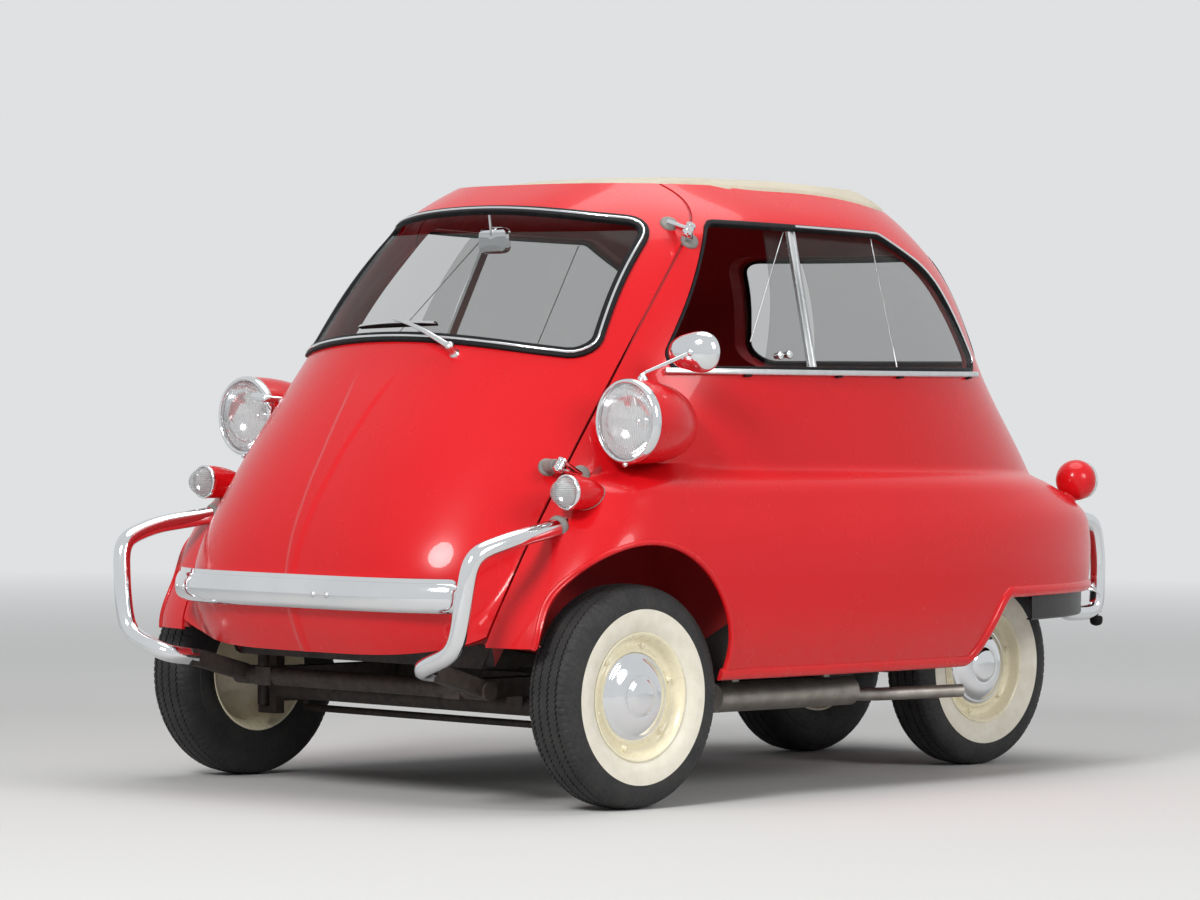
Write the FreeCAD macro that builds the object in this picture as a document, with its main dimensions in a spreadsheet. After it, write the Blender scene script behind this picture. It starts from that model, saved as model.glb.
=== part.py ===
import FreeCAD, Part
import math
import os

import Sketcher
from FreeCAD import Placement, Rotation, Vector

# A bubble car: a one-box body whose whole nose is the door.
# Millimetres. +Z up, nose towards -Y, the car's left is +X.
# The origin lies on the ground below the middle of the car.

doc = FreeCAD.newDocument("BubbleCar")

# ---------------------------------------------------------------- sizes
# alias, value, meaning
SIZES = [
    ("car_length", 2355, "bumper to bumper"),
    ("wheelbase", 1500, "front axle to rear axle"),
    ("track_front", 1200, "between the front wheel centres"),
    ("track_rear", 520, "between the rear wheel centres"),
    ("running_gap", 0.3, "between pieces that seat on each other"),
    # wheels
    ("tyre_radius", 235, "outer radius of every tyre"),
    ("tyre_width", 122, "section width of every tyre"),
    ("rim_radius", 128, "bead seat radius"),
    ("rim_half", 48, "half the rim's width"),
    ("hubcap_radius", 92, "chrome hubcap"),
    ("cap_seat", 26, "hubcap's edge outside the wheel's middle"),
    ("stub_radius", 12, "stub axle and shaft ends"),
    # body
    ("wall", 35, "body and door, measured level"),
    ("sheet_wall", 25, "wheel house and bulkhead plates"),
    ("fender_wall", 14, "fender over the front wheels"),
    ("floor_low", 262, "underside of the floor"),
    ("floor_thick", 26, "floor plate"),
    ("arch_radius", 256, "front wheel arch"),
    ("arch_height", 304, "height of the arch centre"),
    ("arch_ahead", 4, "arch centre ahead of the axle"),
    ("arch_inner", 545, "where the round arch starts, from the middle"),
    ("house_inner", 410, "inner wall of the front wheel house"),
    ("house_back", 285, "wheel house behind the front axle"),
    ("house_high", 600, "top of the wheel house"),
    ("nose_open", 200, "open nose ends this far ahead of the axle"),
    ("bulkhead", 250, "front face of the rear bulkhead"),
    ("shelf_high", 600, "top of the parcel shelf"),
    ("sill_end", 300, "where the sill ends"),
    ("tail_low", 415, "lower edge of the tail"),
    ("tail_start", 430, "where the tail edge is level again"),
    # door
    ("door_gap", 6, "seam round the door"),
    ("door_low", 293, "lower edge of the door"),
    ("swing_room", 264, "clear radius round the hinge line"),
    # glass and roof
    ("glass_thick", 5, "all window glass"),
    ("glass_inset", 8, "glass behind the outer skin"),
    ("pane_step", 3, "between the fixed and the sliding pane"),
    ("post_wide", 24, "window post"),
    ("post_lean", 56, "how far the post leans back at its foot"),
    ("canvas_rise", 24, "crown of the canvas roof"),
    # bumpers
    ("tube_radius", 19, "bumper tubes"),
    ("blade_depth", 30, "bumper blade on the door"),
    ("blade_half", 437, "half the blade's width"),
    ("blade_low", 385, "lower edge of the blade"),
    ("blade_tall", 88, "height of the blade"),
    # rear axle and engine
    ("shaft_radius", 17, "rear axle shaft"),
    ("shaft_step", 44, "shaft's shoulder inside the wheel's middle"),
    ("shaft_out", 20, "shaft's end outside the wheel's middle"),
    ("housing_radius", 32, "rear axle housing"),
    ("housing_step", 80, "housing's end inside the wheel's middle"),
    ("spring_place", 125, "leaf spring from the middle"),
    ("spring_half", 20, "half a leaf's width"),
    ("leaf_thick", 9, "one leaf"),
    ("pad_high", 18, "spring pad above the housing"),
    ("engine_wide", 350, "engine across the car"),
    ("engine_long", 215, "engine along the car"),
    ("engine_tall", 290, "engine height"),
    ("engine_side", 510, "engine's outer face from the middle"),
    ("engine_mount", 10, "mount plate on the bulkhead"),
    # chassis, front axle and steering
    ("rail_wide", 50, "chassis rail"),
    ("rail_deep", 40, "chassis rail"),
    ("rail_place", 300, "chassis rail from the middle"),
    ("rail_nose", 210, "rail's end ahead of the front axle"),
    ("cross_radius", 20, "front cross tube"),
    ("cross_ahead", 190, "front cross tube ahead of the axle"),
    ("cross_half", 400, "half the front cross tube"),
    ("beam_radius", 22, "front axle tube"),
    ("kingpin_inset", 65, "kingpin inside the wheel centre"),
    ("kingpin_radius", 7, "kingpin"),
    ("kingpin_half", 76, "half the knuckle's height"),
    ("knuckle_radius", 14, "knuckle post"),
    ("arm_back", 100, "steering arm behind the axle"),
    ("arm_in", 30, "steering arm's end inside the kingpin"),
    ("tie_radius", 8, "tie rod"),
    # exhaust
    ("muffler_radius", 33, "silencer"),
    ("muffler_high", 198, "silencer's middle"),
    ("muffler_half", 225, "half the silencer's length"),
    ("pipe_radius", 15, "tail pipe"),
    # seats and controls
    ("seat_width", 1000, "bench seat"),
    ("seat_depth", 410, "bench cushion"),
    ("seat_low", 400, "underside of the cushion"),
    ("seat_ahead", 150, "cushion's back ahead of the bulkhead"),
    ("cushion_thick", 160, "bench cushion"),
    ("back_thick", 90, "backrest"),
    ("back_long", 520, "backrest along its lean"),
    ("back_drop", 190, "backrest below the shelf, along its lean"),
    ("cushion_edge", 28, "rounding of cushion and backrest"),
    ("steer_radius", 190, "steering wheel"),
    ("grip_radius", 10, "steering wheel rim"),
    ("column_radius", 17, "steering column"),
    # lamps
    ("lamp_radius", 84, "headlamp lens"),
    ("lamp_edge", 12, "chrome ring beyond the lens"),
    ("lamp_ring", 18, "chrome ring's depth"),
    ("signal_radius", 32, "front signal lens"),
    ("tail_lamp_radius", 48, "tail lamp ball"),
    ("tail_lamp_cut", 22, "ball's flat face behind its middle"),
    # small fittings
    ("mirror_radius", 52, "mirror head"),
    ("hinge_radius", 11, "door hinge knuckle"),
    ("plate_wide", 260, "number plate"),
    ("plate_tall", 120, "number plate"),
    ("plate_thick", 4, "number plate"),
    ("plate_holes", 180, "number plate bolt spacing"),
    ("plate_hole", 7, "number plate bolt hole"),
]
sheet = doc.addObject("Spreadsheet::Sheet", "Sizes")
for row, (alias, amount, meaning) in enumerate(SIZES, 1):
    sheet.set(f"A{row}", meaning)
    sheet.set(f"B{row}", str(amount))
    sheet.setAlias(f"B{row}", alias)
doc.recompute()


def size(formula):
    """Value of a formula written with the sheet's aliases."""
    return float(sheet.evalExpression(formula))


wheel_front = -size("wheelbase / 2")
wheel_rear = size("wheelbase / 2")
axle_high = size("tyre_radius")
wall = size("wall")

# Level sections of the cabin. z: height, nose: front point, half: half width,
# back: rear point. Radii: front_r, corner_r, fore_r and aft_r along the side,
# turn_r, back_r.
WAIST_Y = -100
CABIN = [
    # z, nose, front_r, corner_r, half, fore_r, aft_r, turn_r, back, back_r
    (270, -1075, 1500, 320, 560, 6000, 3200, 440, 1000, 700),
    (430, -1145, 1500, 320, 585, 6000, 3100, 460, 1060, 800),
    (600, -1108, 1000, 320, 600, 4000, 2800, 450, 1035, 800),
    (760, -1012, 800, 320, 604, 2400, 2300, 460, 920, 700),
    (920, -893, 730, 320, 600, 1500, 2100, 450, 775, 700),
    (1080, -765, 720, 320, 562, 1250, 1900, 430, 700, 680),
    (1180, -680, 730, 310, 512, 1200, 1700, 400, 642, 640),
    (1260, -600, 780, 300, 450, 1150, 1500, 380, 572, 560),
    (1325, -470, 900, 260, 345, 1400, 1700, 250, 430, 560),
]
# Level sections of the low body with the fenders, in the same columns.
FLANK_Y = -450
FLANK = [
    (262, -1040, 8000, 120, 652, 6000, 7000, 450, 1042, 1400),
    (345, -1044, 8000, 120, 680, 6000, 7000, 450, 1076, 1400),
    (450, -995, 8000, 120, 690, 6000, 7000, 450, 1102, 1400),
    (560, -926, 8000, 120, 686, 6000, 7000, 450, 1097, 1400),
    (600, -895, 7000, 115, 677, 5500, 7000, 450, 1064, 1400),
    (640, -860, 6000, 110, 664, 5000, 6500, 440, 980, 1400),
    (690, -790, 5000, 100, 628, 4000, 5500, 430, 840, 1300),
    (716, -690, 4000, 90, 575, 4000, 4500, 400, 730, 1200),
]


# ---------------------------------------------------------------- helpers
def feature(label, shape):
    """A plain feature holding a computed shape."""
    thing = doc.addObject("Part::Feature", label)
    thing.Label = label
    thing.Shape = shape
    return thing


def two_circles(first, first_r, second, second_r, way):
    """Crossing point of two circles: the front one for way -1, the rear one for 1."""
    run = second - first
    gap = run.Length
    along = (first_r**2 - second_r**2 + gap**2) / (2 * gap)
    off = math.sqrt(max(first_r**2 - along**2, 0))
    unit = run / gap
    side = Vector(unit.y, -unit.x, 0) * off
    picks = [first + unit * along + side, first + unit * along - side]
    return max(picks, key=lambda point: way * point.y)


def toward(centre, target, radius):
    """Point at a radius from the centre, in line with the target."""
    return centre + (target - centre).normalize() * radius


def oval(row, waist, inset, z=None):
    """Closed level section of twelve tangent arcs, moved inwards by inset."""
    high, nose, front_r, corner_r, half, fore_r, aft_r, turn_r, back, back_r = row
    high = high if z is None else z
    front = Vector(0, nose + front_r, 0)
    fore = Vector(half - fore_r, waist, 0)
    aft = Vector(half - aft_r, waist, 0)
    rear = Vector(0, back - back_r, 0)
    corner = two_circles(front, front_r - corner_r, fore, fore_r - corner_r, -1)
    turn = two_circles(aft, aft_r - turn_r, rear, back_r - turn_r, 1)
    radii = [r - inset for r in (front_r, corner_r, fore_r, aft_r, turn_r, back_r)]
    joints = [
        Vector(0, nose + inset, 0),
        toward(front, corner, radii[0]),
        toward(fore, corner, radii[2]),
        Vector(half - inset, waist, 0),
        toward(aft, turn, radii[3]),
        toward(rear, turn, radii[5]),
        Vector(0, back - inset, 0),
    ]
    centres = [front, corner, fore, aft, turn, rear]
    arcs = []
    for start, end, centre, radius in zip(joints, joints[1:], centres, radii):
        middle = toward(centre, (start + end) / 2, radius)
        arcs.append((start, middle, end))
    mirrored = []
    for start, middle, end in reversed(arcs):
        mirrored.append(tuple(Vector(-p.x, p.y, 0) for p in (end, middle, start)))
    lift = Vector(0, 0, high)
    edges = [Part.Arc(a + lift, b + lift, c + lift).toShape() for a, b, c in arcs + mirrored]
    return Part.Wire(edges)


def skin(rows, waist, inset, low=None, high=None):
    """Solid through the level sections, inset, with its ends run on if asked."""
    wires = [oval(row, waist, inset) for row in rows]
    if low is not None:
        wires.insert(0, oval(rows[0], waist, inset, low))
    if high is not None:
        wires.append(oval(rows[-1], waist, inset, high))
    return Part.makeLoft(wires, True, False)


def box(x0, x1, y0, y1, z0, z1):
    """Box between two corners."""
    return Part.makeBox(x1 - x0, y1 - y0, z1 - z0, Vector(x0, y0, z0))


def rod(start, end, radius):
    """Cylinder between two points."""
    run = end - start
    return Part.makeCylinder(radius, run.Length, start, run)


def largest(shape):
    """The solid with the most volume."""
    return max(shape.Solids, key=lambda solid: solid.Volume)


def foremost(shape):
    """The solid that lies furthest forward."""
    return min(shape.Solids, key=lambda solid: solid.CenterOfMass.y)


def mirror_x(shape):
    """The same shape on the car's other side."""
    return shape.mirror(Vector(0, 0, 0), Vector(1, 0, 0))


def both(shape):
    """Left and right copies that do not touch."""
    return Part.makeCompound([shape, mirror_x(shape)])


def rounded(points, radii, lift):
    """Closed outline of lines with its corners rounded, lifted by a function."""
    edges = []
    cuts = []
    count = len(points)
    for i in range(count):
        before, here, after = (Vector(*points[j], 0) for j in (i - 1, i, (i + 1) % count))
        back = (before - here).normalize()
        on = (after - here).normalize()
        angle = back.getAngle(on)
        trim = radii[i] / math.tan(angle / 2)
        bisector = (back + on).normalize()
        centre = here + bisector * (radii[i] / math.sin(angle / 2))
        cuts.append((here + back * trim, centre - bisector * radii[i], here + on * trim))
    for i in range(count):
        start, middle, end = cuts[i]
        following = cuts[(i + 1) % count][0]
        edges.append(Part.Arc(lift(start), lift(middle), lift(end)).toShape())
        edges.append(Part.LineSegment(lift(end), lift(following)).toShape())
    return Part.Wire(edges)


def prism(points, radii, lift, run):
    """Rounded outline extruded along run."""
    return Part.Face(rounded(points, radii, lift)).extrude(run)


def seen_from_front(p):
    return Vector(p.x, -1300, p.y)


def seen_from_side(p):
    return Vector(0, p.x, p.y)


def tube(points, bends, radius):
    """Round bar along straight runs joined by tangent arcs."""
    edges = []
    last = points[0]
    for before, here, after, bend in zip(points, points[1:], points[2:], bends):
        back = (before - here).normalize()
        on = (after - here).normalize()
        angle = back.getAngle(on)
        trim = bend / math.tan(angle / 2)
        bisector = (back + on).normalize()
        middle = here + bisector * (bend / math.sin(angle / 2) - bend)
        edges.append(Part.LineSegment(last, here + back * trim).toShape())
        edges.append(Part.Arc(here + back * trim, middle, here + on * trim).toShape())
        last = here + on * trim
    edges.append(Part.LineSegment(last, points[-1]).toShape())
    path = Part.Wire(edges)
    start = points[0]
    circle = Part.Circle(start, points[1] - start, radius).toShape()
    return path.makePipeShell([Part.Wire([circle])], True, False)


def turned(label, outline, place):
    """PartDesign revolution about its own X axis. Outline: (along, radius) formulas."""
    body = doc.addObject("PartDesign::Body", label + "_body")
    body.Label = label
    sketch = body.newObject("Sketcher::SketchObject", label + "_outline")
    plane = [f for f in body.Origin.OriginFeatures if f.Role == "XY_Plane"][0]
    sketch.AttachmentSupport = (plane, [""])
    sketch.MapMode = "FlatFace"
    spots = [Vector(size(a), size(r), 0) for a, r in outline]
    count = len(spots)
    for i in range(count):
        sketch.addGeometry(Part.LineSegment(spots[i], spots[(i + 1) % count]), False)
    for i in range(count):
        sketch.addConstraint(Sketcher.Constraint("Coincident", i, 2, (i + 1) % count, 1))
    for i, (along, radius) in enumerate(outline):
        for kind, formula in (("DistanceX", along), ("DistanceY", radius)):
            index = sketch.addConstraint(Sketcher.Constraint(kind, -1, 1, i, 1, size(formula)))
            sketch.setExpression(f"Constraints[{index}]", bound(formula))
    spin = body.newObject("PartDesign::Revolution", label + "_turn")
    spin.Profile = sketch
    spin.ReferenceAxis = (sketch, ["H_Axis"])
    spin.Angle = 360
    body.Placement = place
    doc.recompute()
    return body


def bound(formula):
    """The formula with each alias named through the sheet."""
    words = formula.replace("(", "( ").replace(")", " )").split()
    aliases = {alias for alias, amount, meaning in SIZES}
    return " ".join("Sizes." + word if word in aliases else word for word in words)


# ---------------------------------------------------------------- body and door
floor_top = size("floor_low + floor_thick")
plate = size("sheet_wall")
bulkhead = size("bulkhead")
shelf = size("shelf_high")
house = size("house_inner")
house_back = wheel_front + size("house_back")
house_high = size("house_high")
door_low = size("door_low")
far = 1500
# Loft ends beyond the first and the last section.
BELOW, ABOVE = 200, 1345

# Window outlines with the radius of each corner, seen from the side or the front.
SIDE_WINDOW = [(-585, 914), (-352, 1240), (190, 1228), (352, 1150), (500, 918)]
SIDE_WINDOW_R = [30, 30, 60, 200, 30]
WINDSHIELD = [(-450, 940), (-402, 1238), (0, 1283), (402, 1238), (450, 940), (0, 1000)]
WINDSHIELD_R = [32, 60, 2400, 60, 32, 2400]
REAR_WINDOW = [(-370, 930), (-300, 1195), (300, 1195), (370, 930)]
REAR_WINDOW_R = [50, 60, 60, 50]

# Door seam. z: height, half: half width, skin_y: where the skin lies there.
SEAM = [
    (293, 442, -1000),
    (700, 492, -820),
    (930, 490, -655),
    (1215, 447, -400),
    (1420, 425, -300),
]
SEAM_SLANT = 0.6
UPPER_SEAM = Vector(0, -455, 1318)


def door_region(gap):
    """Space in front of the door seam, drawn in by gap. Its sides run in
    square to the skin, so that the door swings out of them."""
    wires = []
    for y in (-far, -150):
        points = []
        for high, half, skin_y in SEAM:
            points.append((half - gap + SEAM_SLANT * (skin_y - y), high))
        points[0] = (points[0][0], door_low + gap)
        points += [(-x, z) for x, z in reversed(points)]
        corners = [Vector(x, y, z) for x, z in points]
        wires.append(Part.makePolygon(corners + corners[:1]))
    block = Part.makeLoft(wires, True, True)
    # The upper seam leans back, square to the roof skin.
    lean = Vector(0, -0.5, 0.866)
    ahead = Vector(0, -0.866, -0.5)
    seat = UPPER_SEAM + ahead * gap
    corners = [
        seat - lean * far,
        seat + lean * far,
        seat + lean * far + ahead * 2 * far,
        seat - lean * far + ahead * 2 * far,
    ]
    corners = [p + Vector(-far, 0, 0) for p in corners]
    front = Part.Face(Part.makePolygon(corners + corners[:1])).extrude(Vector(2 * far, 0, 0))
    return block.common(front)


cabin_outer = skin(CABIN, WAIST_Y, 0)
cabin_inner = skin(CABIN, WAIST_Y, wall, low=BELOW, high=ABOVE)
flank_outer = skin(FLANK, FLANK_Y, 0)
inner_rows = [row if row[0] < 500 else (row[0] - plate,) + row[1:] for row in FLANK]
flank_inner = skin(inner_rows, FLANK_Y, wall, low=BELOW)
outer = cabin_outer.fuse(flank_outer)

# Side window, windscreen and rear window openings.
side_hole = prism(SIDE_WINDOW, SIDE_WINDOW_R, seen_from_side, Vector(far, 0, 0))
side_holes = [side_hole, mirror_x(side_hole)]
screen_hole = prism(WINDSHIELD, WINDSHIELD_R, seen_from_front, Vector(0, 1100, 0))
rear_hole = prism(REAR_WINDOW, REAR_WINDOW_R, seen_from_front, Vector(0, far, 0))
rear_hole.translate(Vector(0, 1500, 0))

# Cabin space: within the walls, above the floor, clear of the wheel houses.
behind_house = box(-far, far, house_back + plate, far, 0, far)
cabin_space = cabin_inner.fuse(flank_inner.common(behind_house))
cabin_space = cabin_space.common(box(-far, far, -far, far, floor_top, far))
house_block = box(house - plate, far, -far, house_back + plate, 0, house_high + plate)
cabin_space = cabin_space.cut(Part.makeCompound([house_block, mirror_x(house_block)]))
cabin_space = cabin_space.cut(box(-far, far, bulkhead, far, 0, shelf))

# Rear bay, open below, for the rear wheels and the engine.
bay_front = bulkhead + plate
bay_block = box(-far, far, bay_front, far, 0, shelf - plate)
rear_bay = cabin_inner.fuse(flank_inner).common(bay_block)

# Front wheel houses and the round arches in the fenders.
fender_wall = size("fender_wall")
fender_rows = [row if row[0] < 500 else (row[0] - fender_wall,) + row[1:] for row in FLANK]
fender_inner = skin(fender_rows, FLANK_Y, fender_wall, low=BELOW)
house_space = fender_inner.common(box(house, far, -far, house_back, 0, house_high))
arch_y = wheel_front - size("arch_ahead")
arch_z = size("arch_height")
arch_start = Vector(size("arch_inner"), arch_y, arch_z)
arch = Part.makeCylinder(size("arch_radius"), far, arch_start, Vector(1, 0, 0))
arch = arch.common(box(0, far, -far, house_back, 0, far))
house_space = house_space.fuse(arch)

# The tail edge is higher than the sill.
sill_end = size("sill_end")
tail_low = size("tail_low")
tail_cut = [
    (sill_end, 0),
    (sill_end, size("floor_low")),
    (size("tail_start"), tail_low),
    (far, tail_low),
    (far, 0),
]
tail_wire = Part.makePolygon([Vector(-far, y, z) for y, z in tail_cut + tail_cut[:1]])
tail_block = Part.Face(tail_wire).extrude(Vector(2 * far, 0, 0))

shell = outer.cut(Part.makeCompound([cabin_space, rear_bay]))
shell = shell.cut(Part.makeCompound([house_space, mirror_x(house_space)]))
shell = shell.cut(tail_block)
shell = shell.cut(Part.makeCompound(side_holes))
shell = shell.cut(rear_hole)
# No floor under the nose ahead of the wheels.
nose_half = SEAM[0][1]
shell = shell.cut(box(-nose_half, nose_half, -far, wheel_front - size("nose_open"), 0, door_low))

door_gap = size("door_gap")
nose_core = skin(CABIN, WAIST_Y, wall + door_gap, low=BELOW, high=ABOVE)
# The door's hinge side needs room inside the seam as it swings.
hinge_high = Vector(480, -432, 1228)
hinge_lower = Vector(520, -862, 716)
hinge_run = (hinge_high - hinge_lower).normalize()
swing = rod(hinge_lower - hinge_run * 700, hinge_high, size("swing_room"))
nose_core = nose_core.cut(swing)
body_shell = shell.cut(door_region(0).cut(nose_core))
door_shell = cabin_outer.cut(cabin_inner).common(door_region(door_gap)).cut(screen_hole)
door_shell = largest(door_shell)
feature("body_shell", largest(body_shell))
feature("door_panel", door_shell)


def layer(rows, waist, start, thick):
    """Sheet of the skin between two insets."""
    low, high = rows[3][0], rows[-1][0]
    solid = skin(rows, waist, start)
    solid = solid.cut(skin(rows, waist, start + thick, low=BELOW, high=ABOVE))
    return solid.common(box(-far, far, -far, far, low, high))


# ---------------------------------------------------------------- glass
glass = size("glass_thick")
glass_in = size("glass_inset")
slide_in = size("glass_inset + glass_thick + pane_step")
glass_layer = layer(CABIN, WAIST_Y, glass_in, glass)
slide_layer = layer(CABIN, WAIST_Y, slide_in, glass)
post_layer = layer(CABIN, WAIST_Y, 2, size("glass_inset + 2 * (glass_thick + pane_step)"))
post_wide = size("post_wide")
post_lean = size("post_lean")
post_y = -178


def slanted(start, lean, wide):
    """Upright strip in side view between the waist and the roof, leaning back."""
    low, high = 900, 1260
    spots = [(start, low), (start + wide, low), (start + lean + wide, high), (start + lean, high)]
    wire = Part.makePolygon([Vector(0, y, z) for y, z in spots + spots[:1]])
    return Part.Face(wire).extrude(Vector(far, 0, 0))


post_strip = slanted(post_y, post_lean, post_wide)
post = post_layer.common(side_hole).common(post_strip)
feature("window_posts", both(post))
# The sliding pane is shut but for the front corner, where its edge leans more.
pane_y, pane_lean, pane_wide = -300, 125, 120
ahead_of_post = slanted(pane_y, pane_lean, pane_wide)
behind_post = slanted(post_y + post_wide, post_lean, far)
front_pane = largest(slide_layer.common(side_hole).common(ahead_of_post).cut(post_strip))
rear_pane = glass_layer.common(side_hole).common(behind_post)
panes = [front_pane, rear_pane]
feature("side_glass", Part.makeCompound(panes + [mirror_x(pane) for pane in panes]))
feature("windshield_glass", largest(glass_layer.common(screen_hole)))
feature("rear_glass", glass_layer.common(rear_hole))

# ---------------------------------------------------------------- canvas roof
top = CABIN[-1]
rise = size("canvas_rise")
crown = [
    oval(top, WAIST_Y, 3, top[0]),
    oval(top, WAIST_Y, 22, top[0] + rise * 0.6),
    oval(top, WAIST_Y, 110, top[0] + rise),
]
feature("sunroof_canvas", Part.makeLoft(crown, True, False))

# ---------------------------------------------------------------- bumpers
tube_r = size("tube_radius")
nose_y = -size("car_length / 2") + tube_r
front_route = [
    Vector(583, -840, 592),
    Vector(572, -1040, 567),
    Vector(556, nose_y + 22, 520),
    Vector(540, nose_y, 420),
    Vector(505, nose_y, 335),
    Vector(375, nose_y + 20, 280),
    Vector(368, -1050, 254),
    Vector(360, -962, 243),
]
front_bends = [90, 50, 90, 60, 50, 30]
front_tube = tube(front_route, front_bends, tube_r).cut(outer)
feature("front_bumpers", both(largest(front_tube)))

tail_y = size("car_length / 2") - tube_r
rear_route = [
    Vector(330, 980, 590),
    Vector(350, tail_y, 590),
    Vector(350, tail_y, 385),
    Vector(340, 1010, 385),
    Vector(335, 985, 440),
]
rear_bends = [60, 50, 30]
rear_tube = tube(rear_route, rear_bends, tube_r).cut(outer)
feature("rear_bumpers", both(largest(rear_tube)))

blade_half = size("blade_half")
blade_low = size("blade_low")
blade_high = size("blade_low + blade_tall")
blade_outline = [
    (-blade_half, blade_low),
    (-blade_half, blade_high),
    (blade_half, blade_high),
    (blade_half, blade_low),
]
blade_corner = 18
blade_hole = prism(blade_outline, [blade_corner] * 4, seen_from_front, Vector(0, 400, 0))
blade = skin(CABIN, WAIST_Y, -size("blade_depth")).cut(cabin_outer).common(blade_hole)
feature("bumper_blade", largest(blade))

# ---------------------------------------------------------------- wheels
# Outlines of half sections: along the axle outwards, then the radius.
RIM = [
    ("-10", "stub_radius + running_gap"), ("cap_seat", "stub_radius + running_gap"),
    ("cap_seat", "hubcap_radius + 2"), ("14", "hubcap_radius + 13"),
    ("rim_half - 8", "rim_radius - 12"), ("rim_half", "rim_radius"),
    ("0 - rim_half", "rim_radius"), ("0 - rim_half", "rim_radius - 10"),
    ("2", "rim_radius - 16"), ("6", "hubcap_radius - 7"), ("-44", "hubcap_radius - 7"),
    ("-44", "hubcap_radius - 17"), ("12", "hubcap_radius - 17"), ("12", "30"), ("-10", "30"),
]
TYRE = [
    ("0 - rim_half", "rim_radius"), ("rim_half", "rim_radius"), ("53", "rim_radius + 12"),
    ("tyre_width / 2", "rim_radius + 44"), ("tyre_width / 2 - 3", "tyre_radius - 32"),
    ("tyre_width / 2 - 12", "tyre_radius - 10"), ("tyre_width / 2 - 22", "tyre_radius"),
    ("22 - tyre_width / 2", "tyre_radius"), ("12 - tyre_width / 2", "tyre_radius - 10"),
    ("3 - tyre_width / 2", "tyre_radius - 32"), ("0 - tyre_width / 2", "rim_radius + 44"),
    ("-53", "rim_radius + 12"),
]
CAP = [
    ("cap_seat", "0"), ("cap_seat", "hubcap_radius"), ("34", "hubcap_radius - 5"),
    ("46", "hubcap_radius - 30"), ("54", "26"), ("60", "20"), ("61", "0"),
]
half_front = size("track_front / 2")
half_rear = size("track_rear / 2")
turn_round = Rotation(Vector(0, 0, 1), 180)


def wheel_place(x, y):
    """Wheel frame with its outer face away from the middle of the car."""
    spin = Rotation() if x > 0 else turn_round
    return Placement(Vector(x, y, axle_high), spin)


for side, x in (("left", half_front), ("right", -half_front)):
    place = wheel_place(x, wheel_front)
    turned(f"tyre_front_{side}", TYRE, place)
    turned(f"rim_front_{side}", RIM, place)
    turned(f"hubcap_front_{side}", CAP, place)


def pair_of(label, outline, y):
    """Two turned pieces on one axle, as one node of separate solids."""
    shapes = []
    for side, x in (("left", half_rear), ("right", -half_rear)):
        shapes.append(turned(f"{label}_{side}_piece", outline, wheel_place(x, y)).Shape)
    feature(label, Part.makeCompound(shapes))


pair_of("tyres_rear", TYRE, wheel_rear)
pair_of("rims_rear", RIM, wheel_rear)
pair_of("hubcaps_rear", CAP, wheel_rear)

# ---------------------------------------------------------------- rear axle
gap = size("running_gap")
stub = size("stub_radius")
axle = Vector(0, wheel_rear, axle_high)


def along_axle(half, radius):
    """Round bar along the rear axle, even about the middle."""
    reach = Vector(half, 0, 0)
    return rod(axle - reach, axle + reach, radius)


shaft = along_axle(size("track_rear / 2 - shaft_step"), size("shaft_radius"))
ends = along_axle(size("track_rear / 2 + shaft_out"), size("stub_radius + running_gap"))
feature("rear_axle", shaft.fuse(ends))

housing_r = size("housing_radius")
spring_x = size("spring_place")
spring_half = size("spring_half")
spring_z = axle_high + housing_r + size("pad_high")
housing = along_axle(size("track_rear / 2 - housing_step"), housing_r)
pad_half = spring_half + 4
pad_front, pad_back = wheel_rear - housing_r, wheel_rear + housing_r
for x in (-spring_x, spring_x):
    pad = box(x - pad_half, x + pad_half, pad_front, pad_back, axle_high, spring_z)
    housing = housing.fuse(pad)
chain_case = (-95, -35)
case_half = 45
engine_back = bay_front + size("engine_mount + engine_long")
case = box(*chain_case, engine_back + gap, wheel_rear, axle_high - case_half, axle_high + case_half)
bore = along_axle(size("cross_half"), size("shaft_radius + running_gap"))
feature("rear_axle_housing", housing.fuse(case).cut(bore))

# Leaves from the bulkhead back to the axle, each a step shorter upwards.
leaf_thick = size("leaf_thick")
leaf_ends = [wheel_rear + 45, wheel_rear - 160, wheel_rear - 300]
leaves = []
for step, leaf_end in enumerate(leaf_ends):
    low = spring_z + step * leaf_thick
    leaf = box(-spring_half, spring_half, bay_front, leaf_end, low, low + leaf_thick)
    leaves.append(leaf.translated(Vector(spring_x, 0, 0)))
feature("rear_springs", both(leaves[0].fuse(leaves[1:])))

engine = doc.addObject("Part::Box", "engine_case")
engine.setExpression("Length", "Sizes.engine_wide")
engine.setExpression("Width", "Sizes.engine_long")
engine.setExpression("Height", "Sizes.engine_tall")
engine_front = bay_front + size("engine_mount")
engine_x = -size("engine_side")
engine.Placement = Placement(Vector(engine_x, engine_front, size("floor_low")), Rotation())
doc.recompute()
mount_plate = box(engine_x + 30, engine_x + 350, bay_front, engine_front, 300, 500)
feature("engine_block", engine.Shape.fuse(mount_plate))

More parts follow.
